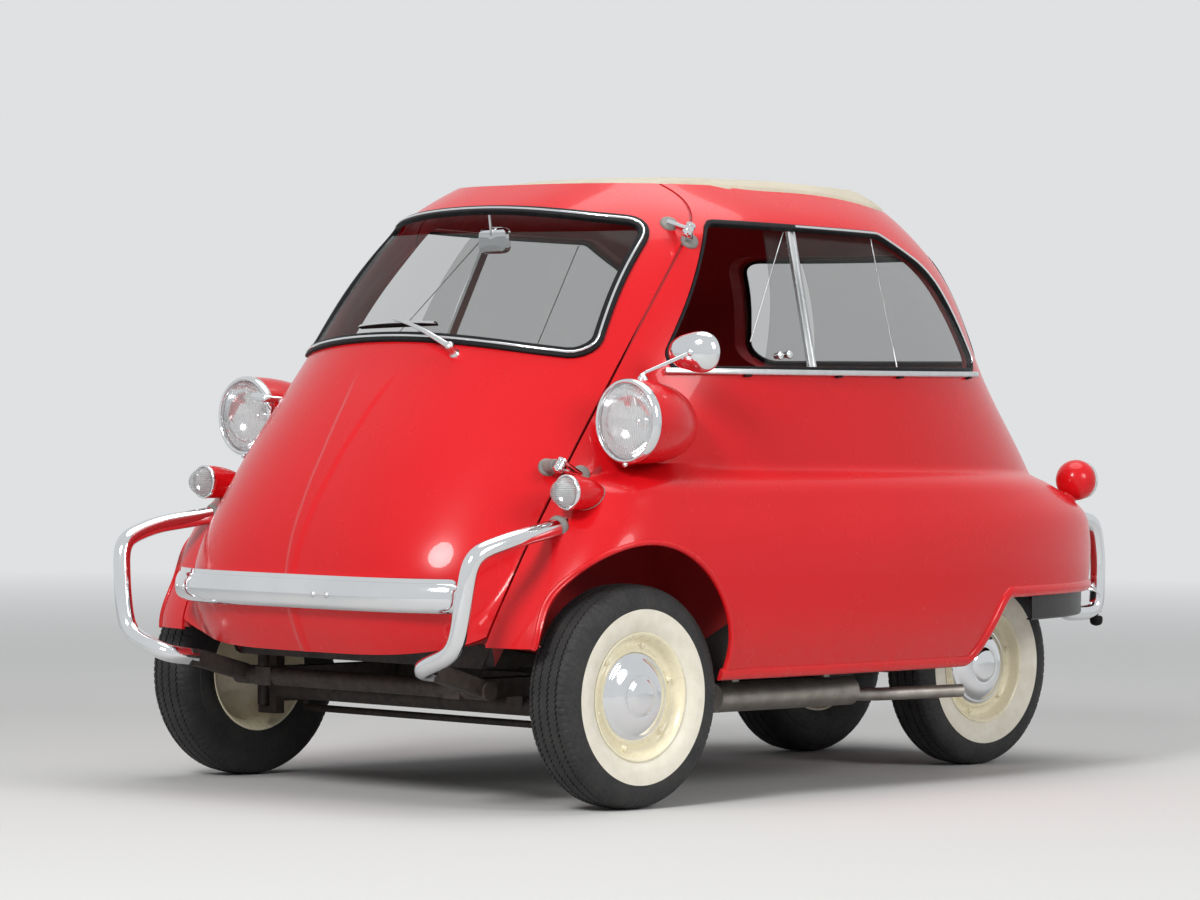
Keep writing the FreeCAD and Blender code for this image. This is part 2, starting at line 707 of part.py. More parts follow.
# ---------------------------------------------------------------- chassis and front axle
rail_x = size("rail_place")
rail_half = size("rail_wide / 2")
rail_top = size("floor_low")
rail_low = size("floor_low - rail_deep")
rail_nose = wheel_front - size("rail_nose")
rails = box(rail_x - rail_half, rail_x + rail_half, rail_nose, bay_front, rail_low, rail_top)
frame = rails.fuse(mirror_x(rails))
member_half, member_drop = 20, 6
for y in (-560, -180, 180):
    member = box(-rail_x, rail_x, y - member_half, y + member_half, rail_low, rail_top - member_drop)
    frame = frame.fuse(member)
cross_y = wheel_front - size("cross_ahead")
cross_r = size("cross_radius")
cross_end = Vector(size("cross_half"), cross_y, rail_low + cross_r)
feature("chassis_frame", frame.fuse(rod(Vector(-cross_end.x, cross_y, cross_end.z), cross_end, cross_r)))

beam_r = size("beam_radius")
beam_z = rail_low - beam_r
pin_x = size("track_front / 2 - kingpin_inset")
pin_r = size("kingpin_radius")
pin_half = size("kingpin_half")
yoke_outer, yoke_thick, yoke_half = 32, 24, 12
ear_thick = 16
beam_end = Vector(pin_x - yoke_outer - yoke_thick / 2, wheel_front, beam_z)
beam = rod(Vector(-beam_end.x, wheel_front, beam_z), beam_end, beam_r)
saddle_half = 24
saddle = box(
    rail_x - saddle_half, rail_x + saddle_half,
    wheel_front - saddle_half, wheel_front + saddle_half, beam_z, rail_low,
)
yoke_in = pin_x - yoke_outer - yoke_thick
yoke_front, yoke_back = wheel_front - yoke_half, wheel_front + yoke_half
# The ears hold the kingpin above and below the knuckle, 1 mm clear of it.
ear_low = axle_high - pin_half - 1 - ear_thick
ear_high = axle_high + pin_half + 1
yoke = box(yoke_in, pin_x - yoke_outer, yoke_front, yoke_back, ear_low, ear_high)
for z in (ear_low, ear_high):
    yoke = yoke.fuse(box(yoke_in, pin_x, yoke_front, yoke_back, z, z + ear_thick))
    yoke = yoke.fuse(Part.makeCylinder(yoke_half, ear_thick, Vector(pin_x, wheel_front, z)))
pin_foot = Vector(pin_x, wheel_front, ear_low + ear_thick / 2)
yoke = yoke.fuse(Part.makeCylinder(pin_r, ear_high - ear_low, pin_foot))
feature("front_axle", beam.fuse([saddle, mirror_x(saddle), yoke, mirror_x(yoke)]))

# Knuckles: kingpin post, stub axle and steering arm.
arm_back = size("arm_back")
rod_x = pin_x - size("arm_in")
arm_z = axle_high - pin_half + 8
arm_thick, arm_half = 10, 9
knuckle_r = size("knuckle_radius")
knuckle_foot = Vector(pin_x, wheel_front, axle_high - pin_half)
knuckle = Part.makeCylinder(knuckle_r, 2 * pin_half, knuckle_foot)
stub_root = Vector(pin_x, wheel_front, axle_high)
stub_end = Vector(half_front + 12, wheel_front, axle_high)
knuckle = knuckle.fuse(rod(stub_root, stub_end, stub))
arm_outline = [
    (pin_x - arm_half, -4),
    (pin_x + arm_half, 4),
    (rod_x + arm_half, arm_back + 6),
    (rod_x - arm_half, arm_back + 6),
]
arm_corners = [Vector(x, wheel_front + y, arm_z) for x, y in arm_outline + arm_outline[:1]]
steering_arm = Part.Face(Part.makePolygon(arm_corners)).extrude(Vector(0, 0, arm_thick))
pin_bore = Part.makeCylinder(pin_r + gap, far, Vector(pin_x, wheel_front, 0))
knuckle = knuckle.fuse(steering_arm).cut(pin_bore)
feature("knuckle_left", knuckle)
feature("knuckle_right", mirror_x(knuckle))

tie_r = size("tie_radius")
tie_end = Vector(rod_x, wheel_front + arm_back, arm_z - 2 * tie_r)
tie = rod(Vector(-rod_x, tie_end.y, tie_end.z), tie_end, tie_r)
for x in (-rod_x, rod_x):
    joint_foot = Vector(x, tie_end.y, tie_end.z)
    tie = tie.fuse(Part.makeCylinder(6, 2 * tie_r - gap, joint_foot))
feature("tie_rod", tie)

# ---------------------------------------------------------------- exhaust
muffler_r = size("muffler_radius")
muffler_x = rail_x + rail_half + muffler_r
muffler_z = size("muffler_high")
muffler_end = Vector(muffler_x, size("muffler_half"), muffler_z)
silencer = rod(Vector(muffler_x, -muffler_end.y, muffler_z), muffler_end, muffler_r)
pipe_route = [
    Vector(muffler_x, muffler_end.y - 25, muffler_z - 8),
    Vector(muffler_x, muffler_end.y + 105, muffler_z - 13),
    Vector(muffler_x + 60, muffler_end.y + 320, muffler_z - 10),
]
pipe_bends = [90]
silencer = silencer.fuse(tube(pipe_route, pipe_bends, size("pipe_radius")))
hanger_half = 10
for y in (-150, 150):
    hanger = box(-muffler_r, 0, y - hanger_half, y + hanger_half, muffler_z, rail_low + 25)
    hanger.translate(Vector(muffler_x, 0, 0))
    silencer = silencer.fuse(hanger)
feature("exhaust", silencer)

# ---------------------------------------------------------------- seats and controls
seat_half = size("seat_width / 2")
seat_low = size("seat_low")
cushion_back = bulkhead - size("seat_ahead")


def padded_box(label, lengths, place):
    """Block sized by three aliases, with all its edges rounded."""
    block = doc.addObject("Part::Box", label + "_block")
    for name, alias in zip(("Length", "Width", "Height"), lengths):
        block.setExpression(name, "Sizes." + alias)
    block.Placement = place
    soft = doc.addObject("Part::Fillet", label)
    soft.Base = block
    doc.recompute()
    edge = size("cushion_edge")
    soft.Edges = [(i, edge, edge) for i in range(1, 13)]


cushion_place = Placement(Vector(-seat_half, cushion_back - size("seat_depth"), seat_low), Rotation())
padded_box("seat_cushion", ("seat_width", "seat_depth", "cushion_thick"), cushion_place)
lean = Rotation(Vector(1, 0, 0), -15)
back_seat = Vector(-seat_half, bulkhead - 0.4, shelf)
back_place = Placement(back_seat + lean.multVec(Vector(0, -size("back_thick"), -size("back_drop"))), lean)
padded_box("seat_back", ("seat_width", "back_thick", "back_long"), back_place)

# A front bar and two side bars under the cushion.
frame_x, bar = 430, 30
frame_front = cushion_back - 380
frame_top = seat_low - gap
seat_frame = box(-frame_x, frame_x, frame_front, frame_front + bar, floor_top, frame_top)
for x in (-frame_x, frame_x - bar):
    seat_frame = seat_frame.fuse(box(x, x + bar, frame_front, cushion_back - bar, floor_top, frame_top))
feature("seat_frame", seat_frame)

column_x = 150
column_foot = Vector(column_x, -905, floor_top + 64)
box_half, box_tall = 35, 50
steering_box = box(column_x - box_half, column_x + box_half, -945, -870, floor_top, floor_top + box_tall)
feature("steering_box", steering_box)
wheel_hub = Vector(200, -500, 800)
column_run = (wheel_hub - column_foot).normalize()
hub_back, hub_front, hub_r = 33.7, 6, 28
column = rod(column_foot, wheel_hub - column_run * (hub_back + gap), size("column_radius"))
bracket_foot = column_foot + column_run * 210
bracket = rod(bracket_foot, bracket_foot + Vector(0, -420, 60), 12)
column = column.fuse(bracket).cut(door_shell).common(cabin_inner)
feature("steering_column", largest(column))

grip_r = size("grip_radius")
rim_r = size("steer_radius - grip_radius")
rim = Part.makeTorus(rim_r, grip_r, wheel_hub, column_run)
hub = rod(wheel_hub - column_run * hub_back, wheel_hub + column_run * hub_front, hub_r)
spoke_reach = Vector(rim_r - 2, 0, 0)
spokes = rod(wheel_hub - spoke_reach, wheel_hub + spoke_reach, 7)
feature("steering_wheel", rim.fuse([hub, spokes]))

dash_depth = 70
dash = cabin_inner.cut(skin(CABIN, WAIST_Y, wall + dash_depth, low=BELOW, high=ABOVE))
feature("dashboard", dash.common(box(-60, 420, -far, -500, 800, 905)))

pedals = []
for x in (20, 82, 232):
    stem = box(x - 6, x + 6, -905, -893, floor_top, 400)
    pad = box(x - 26, x + 26, -916, -905, 350, 425)
    pedals.append(stem.fuse(pad))
feature("pedals", Part.makeCompound(pedals))
lever_x, lever_y = 525, -290
gate = box(lever_x - 20, lever_x + 20, lever_y - 50, lever_y + 50, floor_top, floor_top + 60)
knob_place = Vector(lever_x, lever_y - 20, 605)
lever = rod(Vector(lever_x, lever_y, floor_top + 50), knob_place, 7)
feature("gear_lever", gate.fuse([lever, Part.makeSphere(19, knob_place)]))

# ---------------------------------------------------------------- lamps
back = Vector(0, 1, 0)
lamp_r = size("lamp_radius")
lamp = Vector(600, -762, 808)
# Headlamp shell: two tapering forms, the second one running in to the body.
POD = [(0, lamp_r + 8), (60, lamp_r + 5), (120, lamp_r - 6), (180, lamp_r - 30), (225, lamp_r - 62)]
pod_run = Vector(-0.25, 1, 0)
pod_step = 60
lamp_ring = size("lamp_ring")


def spun(centre, outline, run):
    """Solid of revolution: outline of (along, radius) about run from the centre."""
    spots = [Vector(a, r, 0) for a, r in [(outline[0][0], 0)] + outline + [(outline[-1][0], 0)]]
    face = Part.Face(Part.makePolygon(spots + spots[:1]))
    solid = face.revolve(Vector(0, 0, 0), Vector(1, 0, 0), 360)
    solid.Placement = Placement(centre, Rotation(Vector(1, 0, 0), run))
    return solid


pod = spun(lamp + back * lamp_ring, POD, back)
pod = pod.fuse(spun(lamp + back * pod_step, POD, pod_run)).cut(outer)
signal_r = size("signal_radius")
signal = Vector(578, -893, 661)
signal_pod = rod(signal, signal + back * 140, signal_r + 4).cut(outer)
tail_r = size("tail_lamp_radius")
tail_lamp = Vector(405, 963, 669)
tail_face = tail_lamp + back * size("tail_lamp_cut")
tail_stem = rod(tail_lamp, tail_lamp + Vector(-20, -40, -150), 26)
ball = Part.makeSphere(tail_r, tail_lamp).fuse(tail_stem).cut(outer)
ball = ball.cut(box(0, far, tail_face.y, far, 0, far))
left_pods = [largest(pod), largest(signal_pod), largest(ball)]
feature("lamp_pods", Part.makeCompound(left_pods + [mirror_x(piece) for piece in left_pods]))

LENS = [(0, lamp_r), (-14, lamp_r - 10), (-26, lamp_r - 32), (-32, lamp_r - 60), (-33, 1)]
feature("headlamp_lenses", both(spun(lamp, LENS, back)))
ring = rod(lamp, lamp + back * lamp_ring, size("lamp_radius + lamp_edge"))
face_r = math.sqrt(tail_r**2 - size("tail_lamp_cut")**2)
ring_wall, ring_deep, lens_deep = 6, 8, 12
tail_ring = rod(tail_face, tail_face + back * ring_deep, face_r)
tail_ring = tail_ring.cut(rod(tail_face, tail_face + back * ring_deep, face_r - ring_wall))
feature("lamp_rims", Part.makeCompound([ring, mirror_x(ring), tail_ring, mirror_x(tail_ring)]))
SIGNAL = [(0, signal_r), (-16, signal_r - 4), (-28, signal_r - 14), (-33, 1)]
feature("signal_lenses", both(spun(signal, SIGNAL, back)))
feature("tail_lenses", both(rod(tail_face, tail_face + back * lens_deep, face_r - ring_wall)))

# ---------------------------------------------------------------- small fittings
mirror_r = size("mirror_radius")
head = Vector(652, -604, 958)
DOME = [(0, mirror_r), (-12, mirror_r - 3), (-26, mirror_r - 16), (-34, 8)]
stalk = rod(Vector(500, -604, 880), head + Vector(-14, -12, -8), 6).cut(outer)
feature("wing_mirror", spun(head, DOME, back).fuse(largest(stalk)))

handle_z = 872
handle = rod(Vector(-452, -640, handle_z), Vector(-470, -815, handle_z), 9).cut(outer)
grip = rod(Vector(-470, -805, handle_z), Vector(-360, -870, handle_z), 8)
feature("door_handle", foremost(handle).fuse(grip))

wiper_top = Vector(184, -880, 982)
spindle = rod(Vector(184, -815, 936), wiper_top, 9).cut(cabin_outer)
wiper_arm = rod(wiper_top, Vector(20, -873, 1011), 4)
wiper_blade = rod(Vector(150, -868, 1004), Vector(-110, -878, 1018), 5)
feature("wiper", foremost(spindle).fuse([wiper_arm, wiper_blade]))

# Door hinges: a knuckle with its arm on the door, between two lugs on the body.
hinge_r = size("hinge_radius")
knuckle_half, lug_half = 14, 9
lug_step = knuckle_half + lug_half + gap
door_arm = Vector(-58, 24, -25)
door_arm_r, body_arm_r = 7, 5
knuckles = []
brackets = []
for spot, body_arm in ((hinge_high, Vector(-30, 46, -41)), (hinge_lower, Vector(4, 86, -72))):
    middle = rod(spot - hinge_run * knuckle_half, spot + hinge_run * knuckle_half, hinge_r)
    middle = middle.fuse(rod(spot, spot + door_arm, door_arm_r))
    knuckles.append(largest(middle.cut(door_shell).cut(cabin_outer)))
    for shift in (-lug_step, lug_step):
        place = spot + hinge_run * shift
        lug = rod(place - hinge_run * lug_half, place + hinge_run * lug_half, hinge_r)
        brackets.append(largest(lug.fuse(rod(place, place + body_arm, body_arm_r)).cut(outer)))
feature("door_hinges", Part.makeCompound(knuckles))
feature("hinge_brackets", Part.makeCompound(brackets))

plate_y = 1112
plate_half = size("plate_wide / 2")
plate_low = 455
plate_back = plate_y + size("plate_thick")
number_plate = box(-plate_half, plate_half, plate_y, plate_back, plate_low, plate_low + size("plate_tall"))
bracket = box(-60, 60, 950, plate_y, 490, 530).cut(outer)
number_plate = number_plate.fuse(bracket)
hole_z = 560
for x in (-size("plate_holes / 2"), size("plate_holes / 2")):
    hole = rod(Vector(x, plate_y - 5, hole_z), Vector(x, plate_back + 5, hole_z), size("plate_hole / 2"))
    number_plate = number_plate.cut(hole)
feature("number_plate", largest(number_plate))

# ---------------------------------------------------------------- export
doc.recompute()
NODES = [
    "body_shell", "chassis_frame", "front_axle", "engine_block", "exhaust", "sunroof_canvas",
    "side_glass", "rear_glass", "window_posts", "lamp_pods", "lamp_rims", "headlamp_lenses",
    "signal_lenses", "tail_lenses", "front_bumpers", "rear_bumpers", "wing_mirror",
    "hinge_brackets", "seat_cushion", "seat_back", "seat_frame", "gear_lever", "pedals",
    "steering_box", "rear_axle_housing", "rear_springs", "number_plate",
    "door_panel", "windshield_glass", "bumper_blade", "door_handle", "wiper", "door_hinges",
    "dashboard", "steering_column", "steering_wheel",
    "knuckle_left", "knuckle_right", "tie_rod",
    "tyre_front_left", "rim_front_left", "hubcap_front_left",
    "tyre_front_right", "rim_front_right", "hubcap_front_right",
    "rear_axle", "tyres_rear", "rims_rear", "hubcaps_rear",
]
for thing in doc.Objects:
    if "Invalid" in thing.State or "Error" in thing.State:
        raise RuntimeError(f"{thing.Label} did not build")
os.makedirs("parts", exist_ok=True)
for node in NODES:
    found = doc.getObjectsByLabel(node)
    if len(found) != 1:
        raise RuntimeError(f"{node} has {len(found)} objects")
    shape = found[0].Shape
    if shape.isNull() or not shape.isValid() or shape.Volume <= 0:
        raise RuntimeError(f"{node} has no valid shape")
    shape.exportStep(f"parts/{node}.step")
    print(node, len(shape.Solids), round(shape.Volume))
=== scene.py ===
import bpy
import math
import numpy as np
from mathutils import Matrix, Vector


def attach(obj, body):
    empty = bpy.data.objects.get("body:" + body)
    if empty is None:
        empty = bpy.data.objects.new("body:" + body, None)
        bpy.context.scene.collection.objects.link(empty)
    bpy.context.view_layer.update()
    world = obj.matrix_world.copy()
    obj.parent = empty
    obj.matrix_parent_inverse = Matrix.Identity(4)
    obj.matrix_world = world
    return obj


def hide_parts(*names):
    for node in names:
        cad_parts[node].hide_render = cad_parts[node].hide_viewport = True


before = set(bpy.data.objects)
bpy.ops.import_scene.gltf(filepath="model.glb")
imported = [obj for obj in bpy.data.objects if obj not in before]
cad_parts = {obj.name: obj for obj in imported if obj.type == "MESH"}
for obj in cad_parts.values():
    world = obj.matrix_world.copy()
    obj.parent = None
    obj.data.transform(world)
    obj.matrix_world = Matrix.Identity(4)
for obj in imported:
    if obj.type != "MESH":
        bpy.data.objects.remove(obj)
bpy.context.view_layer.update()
scene = bpy.context.scene
print("frame loaded:", len(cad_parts), "nodes")

# Metres throughout. The nose faces -Y, the car's left is +X.


def makePiece(name, shape, finishes, body, stands=(), sharp=38):
    # shape: points, a list of face arrays, and a finish number for each face array;
    # stands: the CAD nodes that the piece takes the place of
    points, faceSets, kinds = shape
    mesh = bpy.data.meshes.new(name)
    corners = np.concatenate([f.ravel() for f in faceSets])
    sizes = np.concatenate([np.full(len(f), f.shape[1]) for f in faceSets])
    mesh.vertices.add(len(points))
    mesh.vertices.foreach_set("co", np.ascontiguousarray(points, np.float32).ravel())
    mesh.loops.add(len(corners))
    mesh.loops.foreach_set("vertex_index", corners.astype(np.int32))
    mesh.polygons.add(len(sizes))
    mesh.polygons.foreach_set("loop_start", np.concatenate([[0], np.cumsum(sizes)[:-1]]).astype(np.int32))
    kind = np.concatenate([np.broadcast_to(k, len(f)) for f, k in zip(faceSets, kinds)])
    mesh.polygons.foreach_set("material_index", kind.astype(np.int32))
    mesh.update(calc_edges=True)
    mesh.validate()
    mesh.shade_smooth()
    mesh.set_sharp_from_angle(angle=math.radians(sharp))
    piece = bpy.data.objects.new(name, mesh)
    scene.collection.objects.link(piece)
    finishes = finishes if isinstance(finishes, tuple) else (finishes,)
    for finish in finishes:
        mesh.materials.append(finish)
    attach(piece, body)
    if stands:
        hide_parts(*stands)
    return piece


def joined(*shapes):
    # shapes one after another in one set of points, each with its faces renumbered
    points, faceSets, kinds, start = [], [], [], 0
    for p, f, k in shapes:
        points.append(p)
        faceSets += [a + start for a in f]
        kinds += list(k)
        start += len(p)
    return np.concatenate(points), faceSets, kinds


def mirrored(shape):
    # x turned to -x, and every face wound the other way so that it still points outwards
    points, faceSets, kinds = shape
    return points * [-1, 1, 1], [f[:, ::-1] for f in faceSets], kinds


def bothSides(shape):
    # the shape and its mirror image, as one
    return joined(shape, mirrored(shape))


def gridShape(spots, wrapRows=False, wrapColumns=False, flip=False):
    # a rows x columns x 3 net of points with a four-sided face in each mesh of the net
    rows, columns = spots.shape[:2]
    number = np.arange(rows * columns).reshape(rows, columns)
    if wrapRows:
        number = np.vstack([number, number[:1]])
    if wrapColumns:
        number = np.hstack([number, number[:, :1]])
    faces = np.stack([number[:-1, :-1], number[:-1, 1:], number[1:, 1:], number[1:, :-1]], -1).reshape(-1, 4)
    return spots.reshape(-1, 3), [faces[:, ::-1] if flip else faces], [0]


def trisOf(quads):
    # each four-sided face as two triangles
    return np.concatenate([quads[:, [0, 1, 2]], quads[:, [0, 2, 3]]])


def fullTurn(steps):
    # angles stepped evenly once round, in radians
    return np.linspace(0, 2 * math.pi, steps, endpoint=False)


def unit(v):
    # each vector divided by its own length
    return v / np.maximum(np.linalg.norm(v, axis=-1, keepdims=True), 1e-12)


def outwards(shape):
    # winds every face so that a closed swept piece has a positive volume
    points, faceSets, kinds = shape
    volume = 0
    for faces in faceSets:
        for k in range(1, faces.shape[1] - 1):
            a, b, c = points[faces[:, 0]], points[faces[:, k]], points[faces[:, k + 1]]
            volume += np.sum(a * np.cross(b, c))
    return (points, [f[:, ::-1] for f in faceSets], kinds) if volume < 0 else shape


def turnedNet(profile, centre, axis, steps=96, kinds=None, wave=None):
    # each profile point (distance along the axis, radius) is carried round the axis in a full circle;
    # wave(along, radius, angle) returns a changed along and radius
    axis = unit(np.array(axis, float))
    side = unit(np.cross(axis, [0, 0, 1] if abs(axis[2]) < .9 else [1, 0, 0]))
    rise = np.cross(axis, side)
    profile = np.array(profile, float)
    angle = fullTurn(steps)
    along, radius = np.broadcast_arrays(profile[:, :1], profile[:, 1:2] + 0 * angle)
    along = along + 0 * angle
    if wave is not None:
        along, radius = wave(along, radius, angle[None, :])
    spots = (np.array(centre) + along[..., None] * axis
             + radius[..., None] * (np.cos(angle)[None, :, None] * side + np.sin(angle)[None, :, None] * rise))
    points, faceSets, _ = gridShape(spots, wrapColumns=True)
    if kinds is None:
        kinds = np.zeros(len(profile) - 1, int)
    return points, faceSets, [np.repeat(np.array(kinds, int), steps)]


def turnedShape(*settings):
    # the same, with its faces pointing outwards
    return outwards(turnedNet(*settings))


def bentLine(corners, bends, closed=False, gap=.012):
    # straight runs joined by round bends, each bend touching both runs, given as points along the line
    corners = np.array(corners, float)
    count = len(corners)
    bends = np.broadcast_to(np.array(bends, float), (count if closed else count - 2,))
    line = [] if closed else [corners[:1]]
    for i in range(count if closed else count - 2):
        at = i if closed else i + 1
        before, here, after = corners[at - 1], corners[at], corners[(at + 1) % count]
        back, on = unit(before - here), unit(after - here)
        half = math.acos(np.clip(back @ on, -1, 1)) / 2
        middle = here + unit(back + on) * bends[i] / math.sin(half)
        first, last = here + back * bends[i] / math.tan(half), here + on * bends[i] / math.tan(half)
        turn = math.pi - 2 * half
        part = np.linspace(0, 1, max(int(turn * bends[i] / gap) + 2, 5))[:, None]
        a, b = first - middle, last - middle
        line.append(middle + (np.sin((1 - part) * turn) * a + np.sin(part * turn) * b) / math.sin(turn))
    if not closed:
        line.append(corners[-1:])
    return evenly(np.concatenate(line), gap, closed)


def evenly(line, gap, closed=False):
    # the same line with points at equal steps along it
    if closed:
        line = np.vstack([line, line[:1]])
    walked = np.concatenate([[0], np.cumsum(np.linalg.norm(np.diff(line, axis=0), axis=1))])
    keep = np.concatenate([[True], np.diff(walked) > 1e-9])
    line, walked = line[keep], walked[keep]
    count = max(int(round(walked[-1] / gap)), 3)
    at = np.linspace(0, walked[-1], count + 1)
    if closed:
        at = at[:-1]
    return np.stack([np.interp(at, walked, line[:, k]) for k in range(line.shape[1])], -1)


def sweptShape(line, section, upright, closed=False, sizes=None):
    # a closed section (across, up) carried along a line; up leans to the given upright at each point,
    # the section grows by sizes, and an open line's ends are filled
    line = np.array(line, float)
    if closed:
        ahead = unit(np.roll(line, -1, 0) - np.roll(line, 1, 0))
    else:
        ahead = unit(np.gradient(line, axis=0))
    upright = np.broadcast_to(np.array(upright, float), line.shape)
    across = unit(np.cross(ahead, upright))
    rise = np.cross(across, ahead)
    section = np.array(section, float)
    size = np.ones(len(line)) if sizes is None else np.array(sizes, float)
    spots = (line[:, None] + across[:, None] * section[None, :, :1] * size[:, None, None]
             + rise[:, None] * section[None, :, 1:2] * size[:, None, None])
    points, faceSets, kinds = gridShape(spots, wrapRows=closed, wrapColumns=True)
    if not closed:
        ring = len(section)
        points = np.vstack([points, spots[0].mean(0), spots[-1].mean(0)])
        turn = np.arange(ring)
        first, last = len(points) - 2, len(points) - 1
        end = (len(line) - 1) * ring
        faceSets.append(np.stack([np.roll(turn, -1), turn, np.full(ring, first)], -1))
        faceSets.append(np.stack([turn + end, np.roll(turn, -1) + end, np.full(ring, last)], -1))
        kinds = [0, 0, 0]
    return outwards((points, faceSets, kinds))


def roundSection(radius, steps=16, squash=1.0):
    # a circle, or an oval when squash is not 1; it runs so that swept faces point outwards
    angle = np.linspace(0, -2 * math.pi, steps, endpoint=False)
    return np.stack([radius * np.cos(angle), radius * squash * np.sin(angle)], -1)


def tubeShape(line, radius, steps=18, closed=False, sizes=None):
    # a round tube along a line, with a frame carried from point to point without twist
    line = np.array(line, float)
    ahead = unit(np.roll(line, -1, 0) - np.roll(line, 1, 0)) if closed else unit(np.gradient(line, axis=0))
    up = unit(np.cross(ahead[0], [.31, .23, .92]))
    ups = []
    for direction in ahead:
        up = unit(up - (up @ direction) * direction)
        ups.append(up)
    return sweptShape(line, roundSection(radius, steps), np.array(ups), closed=closed, sizes=sizes)


# The skin of the car is made of level ovals whose measures run smoothly with height.

def throughKnots(knots, values, at):
    # natural cubic spline: piecewise cubics whose slope and curvature agree at each knot
    gaps = np.diff(knots)
    slopes = np.diff(values) / gaps
    size = len(knots)
    system, right = np.eye(size), np.zeros(size)
    row = np.arange(1, size - 1)
    system[row, row - 1], system[row, row], system[row, row + 1] = gaps[:-1], 2 * (gaps[:-1] + gaps[1:]), gaps[1:]
    right[1:-1] = 6 * np.diff(slopes)
    bend = np.linalg.solve(system, right)
    k = np.clip(np.searchsorted(knots, at) - 1, 0, size - 2)
    a = (knots[k + 1] - at) / gaps[k]
    b = 1 - a
    return (a * values[k] + b * values[k + 1]
            + ((a ** 3 - a) * bend[k] + (b ** 3 - b) * bend[k + 1]) * gaps[k] ** 2 / 6)


def smoothStep(t):
    # rises from 0 to 1 as 3t^2 - 2t^3
    t = np.clip(t, 0, 1)
    return t * t * (3 - 2 * t)


def softMax(a, b, width):
    # the larger of the two, with a fillet where they are within width of each other
    near = np.clip(width - np.abs(a - b), 0, None) / width
    return np.maximum(a, b) + near * near * width / 4


def halved(holds, low, high, rounds=34):
    # the furthest place from low towards high up to which holds is true, by halving the stretch between
    for _ in range(rounds):
        middle = (low + high) / 2
        true = holds(middle)
        low, high = np.where(true, middle, low), np.where(true, high, middle)
    return low


hubY = -.1          # every level oval is measured from this point on the middle plane
cabinForm = {
    "waistY": -.1,
    # height, nose, half width, back, fullness ahead and behind
    "ovals": np.array([
        [.27, -1.075, .56, 1.0, 3.8, 2.6],
        [.43, -1.145, .585, 1.06, 3.8, 2.55],
        [.6, -1.108, .6, 1.035, 3.2, 2.5],
        [.76, -1.012, .604, .92, 2.8, 2.45],
        [.92, -.893, .6, .775, 2.5, 2.45],
        [1.08, -.765, .562, .7, 2.5, 2.45],
        [1.18, -.68, .512, .642, 2.55, 2.42],
        [1.26, -.6, .45, .572, 2.6, 2.35],
        [1.325, -.482, .35, .436, 3.0, 3.0]]),
}
fenderForm = {
    "waistY": -.45,
    "ovals": np.array([
        [.262, -1.04, .652, 1.042, 7.0, 3.2],
        [.345, -1.044, .68, 1.076, 7.0, 3.2],
        [.45, -.995, .69, 1.102, 7.0, 3.2],
        [.56, -.926, .686, 1.104, 7.0, 3.2],
        [.6, -.895, .677, 1.086, 7.0, 3.2],
        [.64, -.86, .665, 1.016, 7.0, 3.2],
        [.69, -.79, .632, .87, 7.0, 3.2],
        [.716, -.69, .578, .745, 7.0, 3.2]]),
    "fillet": .02,    # where the fender's top runs into the cabin's side
    "lowFillet": .016, "filletFrom": .52, "filletRun": .12,
    "fall": 6,          # how steeply it falls away above its highest oval
}


def ovalReach(form, angle, high):
    # distance from the hub to |x/half|^n + |(y - waist)/(end - waist)|^n = 1
    ovals = form["ovals"]
    z = np.clip(high, ovals[0, 0], ovals[-1, 0])
    nose, half, back, fore, aft = (throughKnots(ovals[:, 0], ovals[:, k], z) for k in range(1, 6))
    waist = form["waistY"]
    runX, runY = np.sin(angle), -np.cos(angle)

    def inside(away):
        y = hubY + away * runY
        share = np.where(y < waist, (waist - y) / (waist - nose), (y - waist) / (back - waist))
        full = np.where(y < waist, fore, aft)
        return np.abs(away * runX / half) ** full + share ** full < 1

    return halved(inside, np.zeros_like(z), np.full_like(z, 2.0), 36)


def cabinReach(angle, high):
    # how far the cabin's oval at that height reaches from the hub
    return ovalReach(cabinForm, angle, high)


def fenderReach(angle, high):
    # past the highest oval the fender falls away steeply inside the cabin
    top = fenderForm["ovals"][-1, 0]
    return ovalReach(fenderForm, angle, high) - fenderForm["fall"] * np.clip(high - top, 0, None)


def bodyReach(angle, high):
    # cabin and fender together, with a wide fillet above and a tight one below
    rise = smoothStep((high - fenderForm["filletFrom"]) / fenderForm["filletRun"])
    wide = fenderForm["lowFillet"] + (fenderForm["fillet"] - fenderForm["lowFillet"]) * rise
    return softMax(cabinReach(angle, high), fenderReach(angle, high), wide)


def standOff(reachOf, points):
    # how far a point lies outside the skin, measured level from the hub
    x, y, z = points[..., 0], points[..., 1] - hubY, points[..., 2]
    return np.hypot(x, y) - reachOf(np.arctan2(x, -y), z)


def skinNormal(reachOf, points):
    # direction in which standOff grows fastest, from small steps along each axis
    step = .0008
    slope = [standOff(reachOf, points + step * axis) - standOff(reachOf, points - step * axis)
             for axis in np.eye(3)]
    return unit(np.stack(slope, -1))


def landOn(reachOf, start, direction, span=1.3):
    # walks from start along direction to the skin, which it meets within the span
    start = np.array(start, float)
    direction = np.array(direction, float)
    walked = halved(lambda away: standOff(reachOf, start + away[..., None] * direction) > 0,
                    np.zeros(start.shape[:-1]), np.full(start.shape[:-1], span))
    return start + walked[..., None] * direction


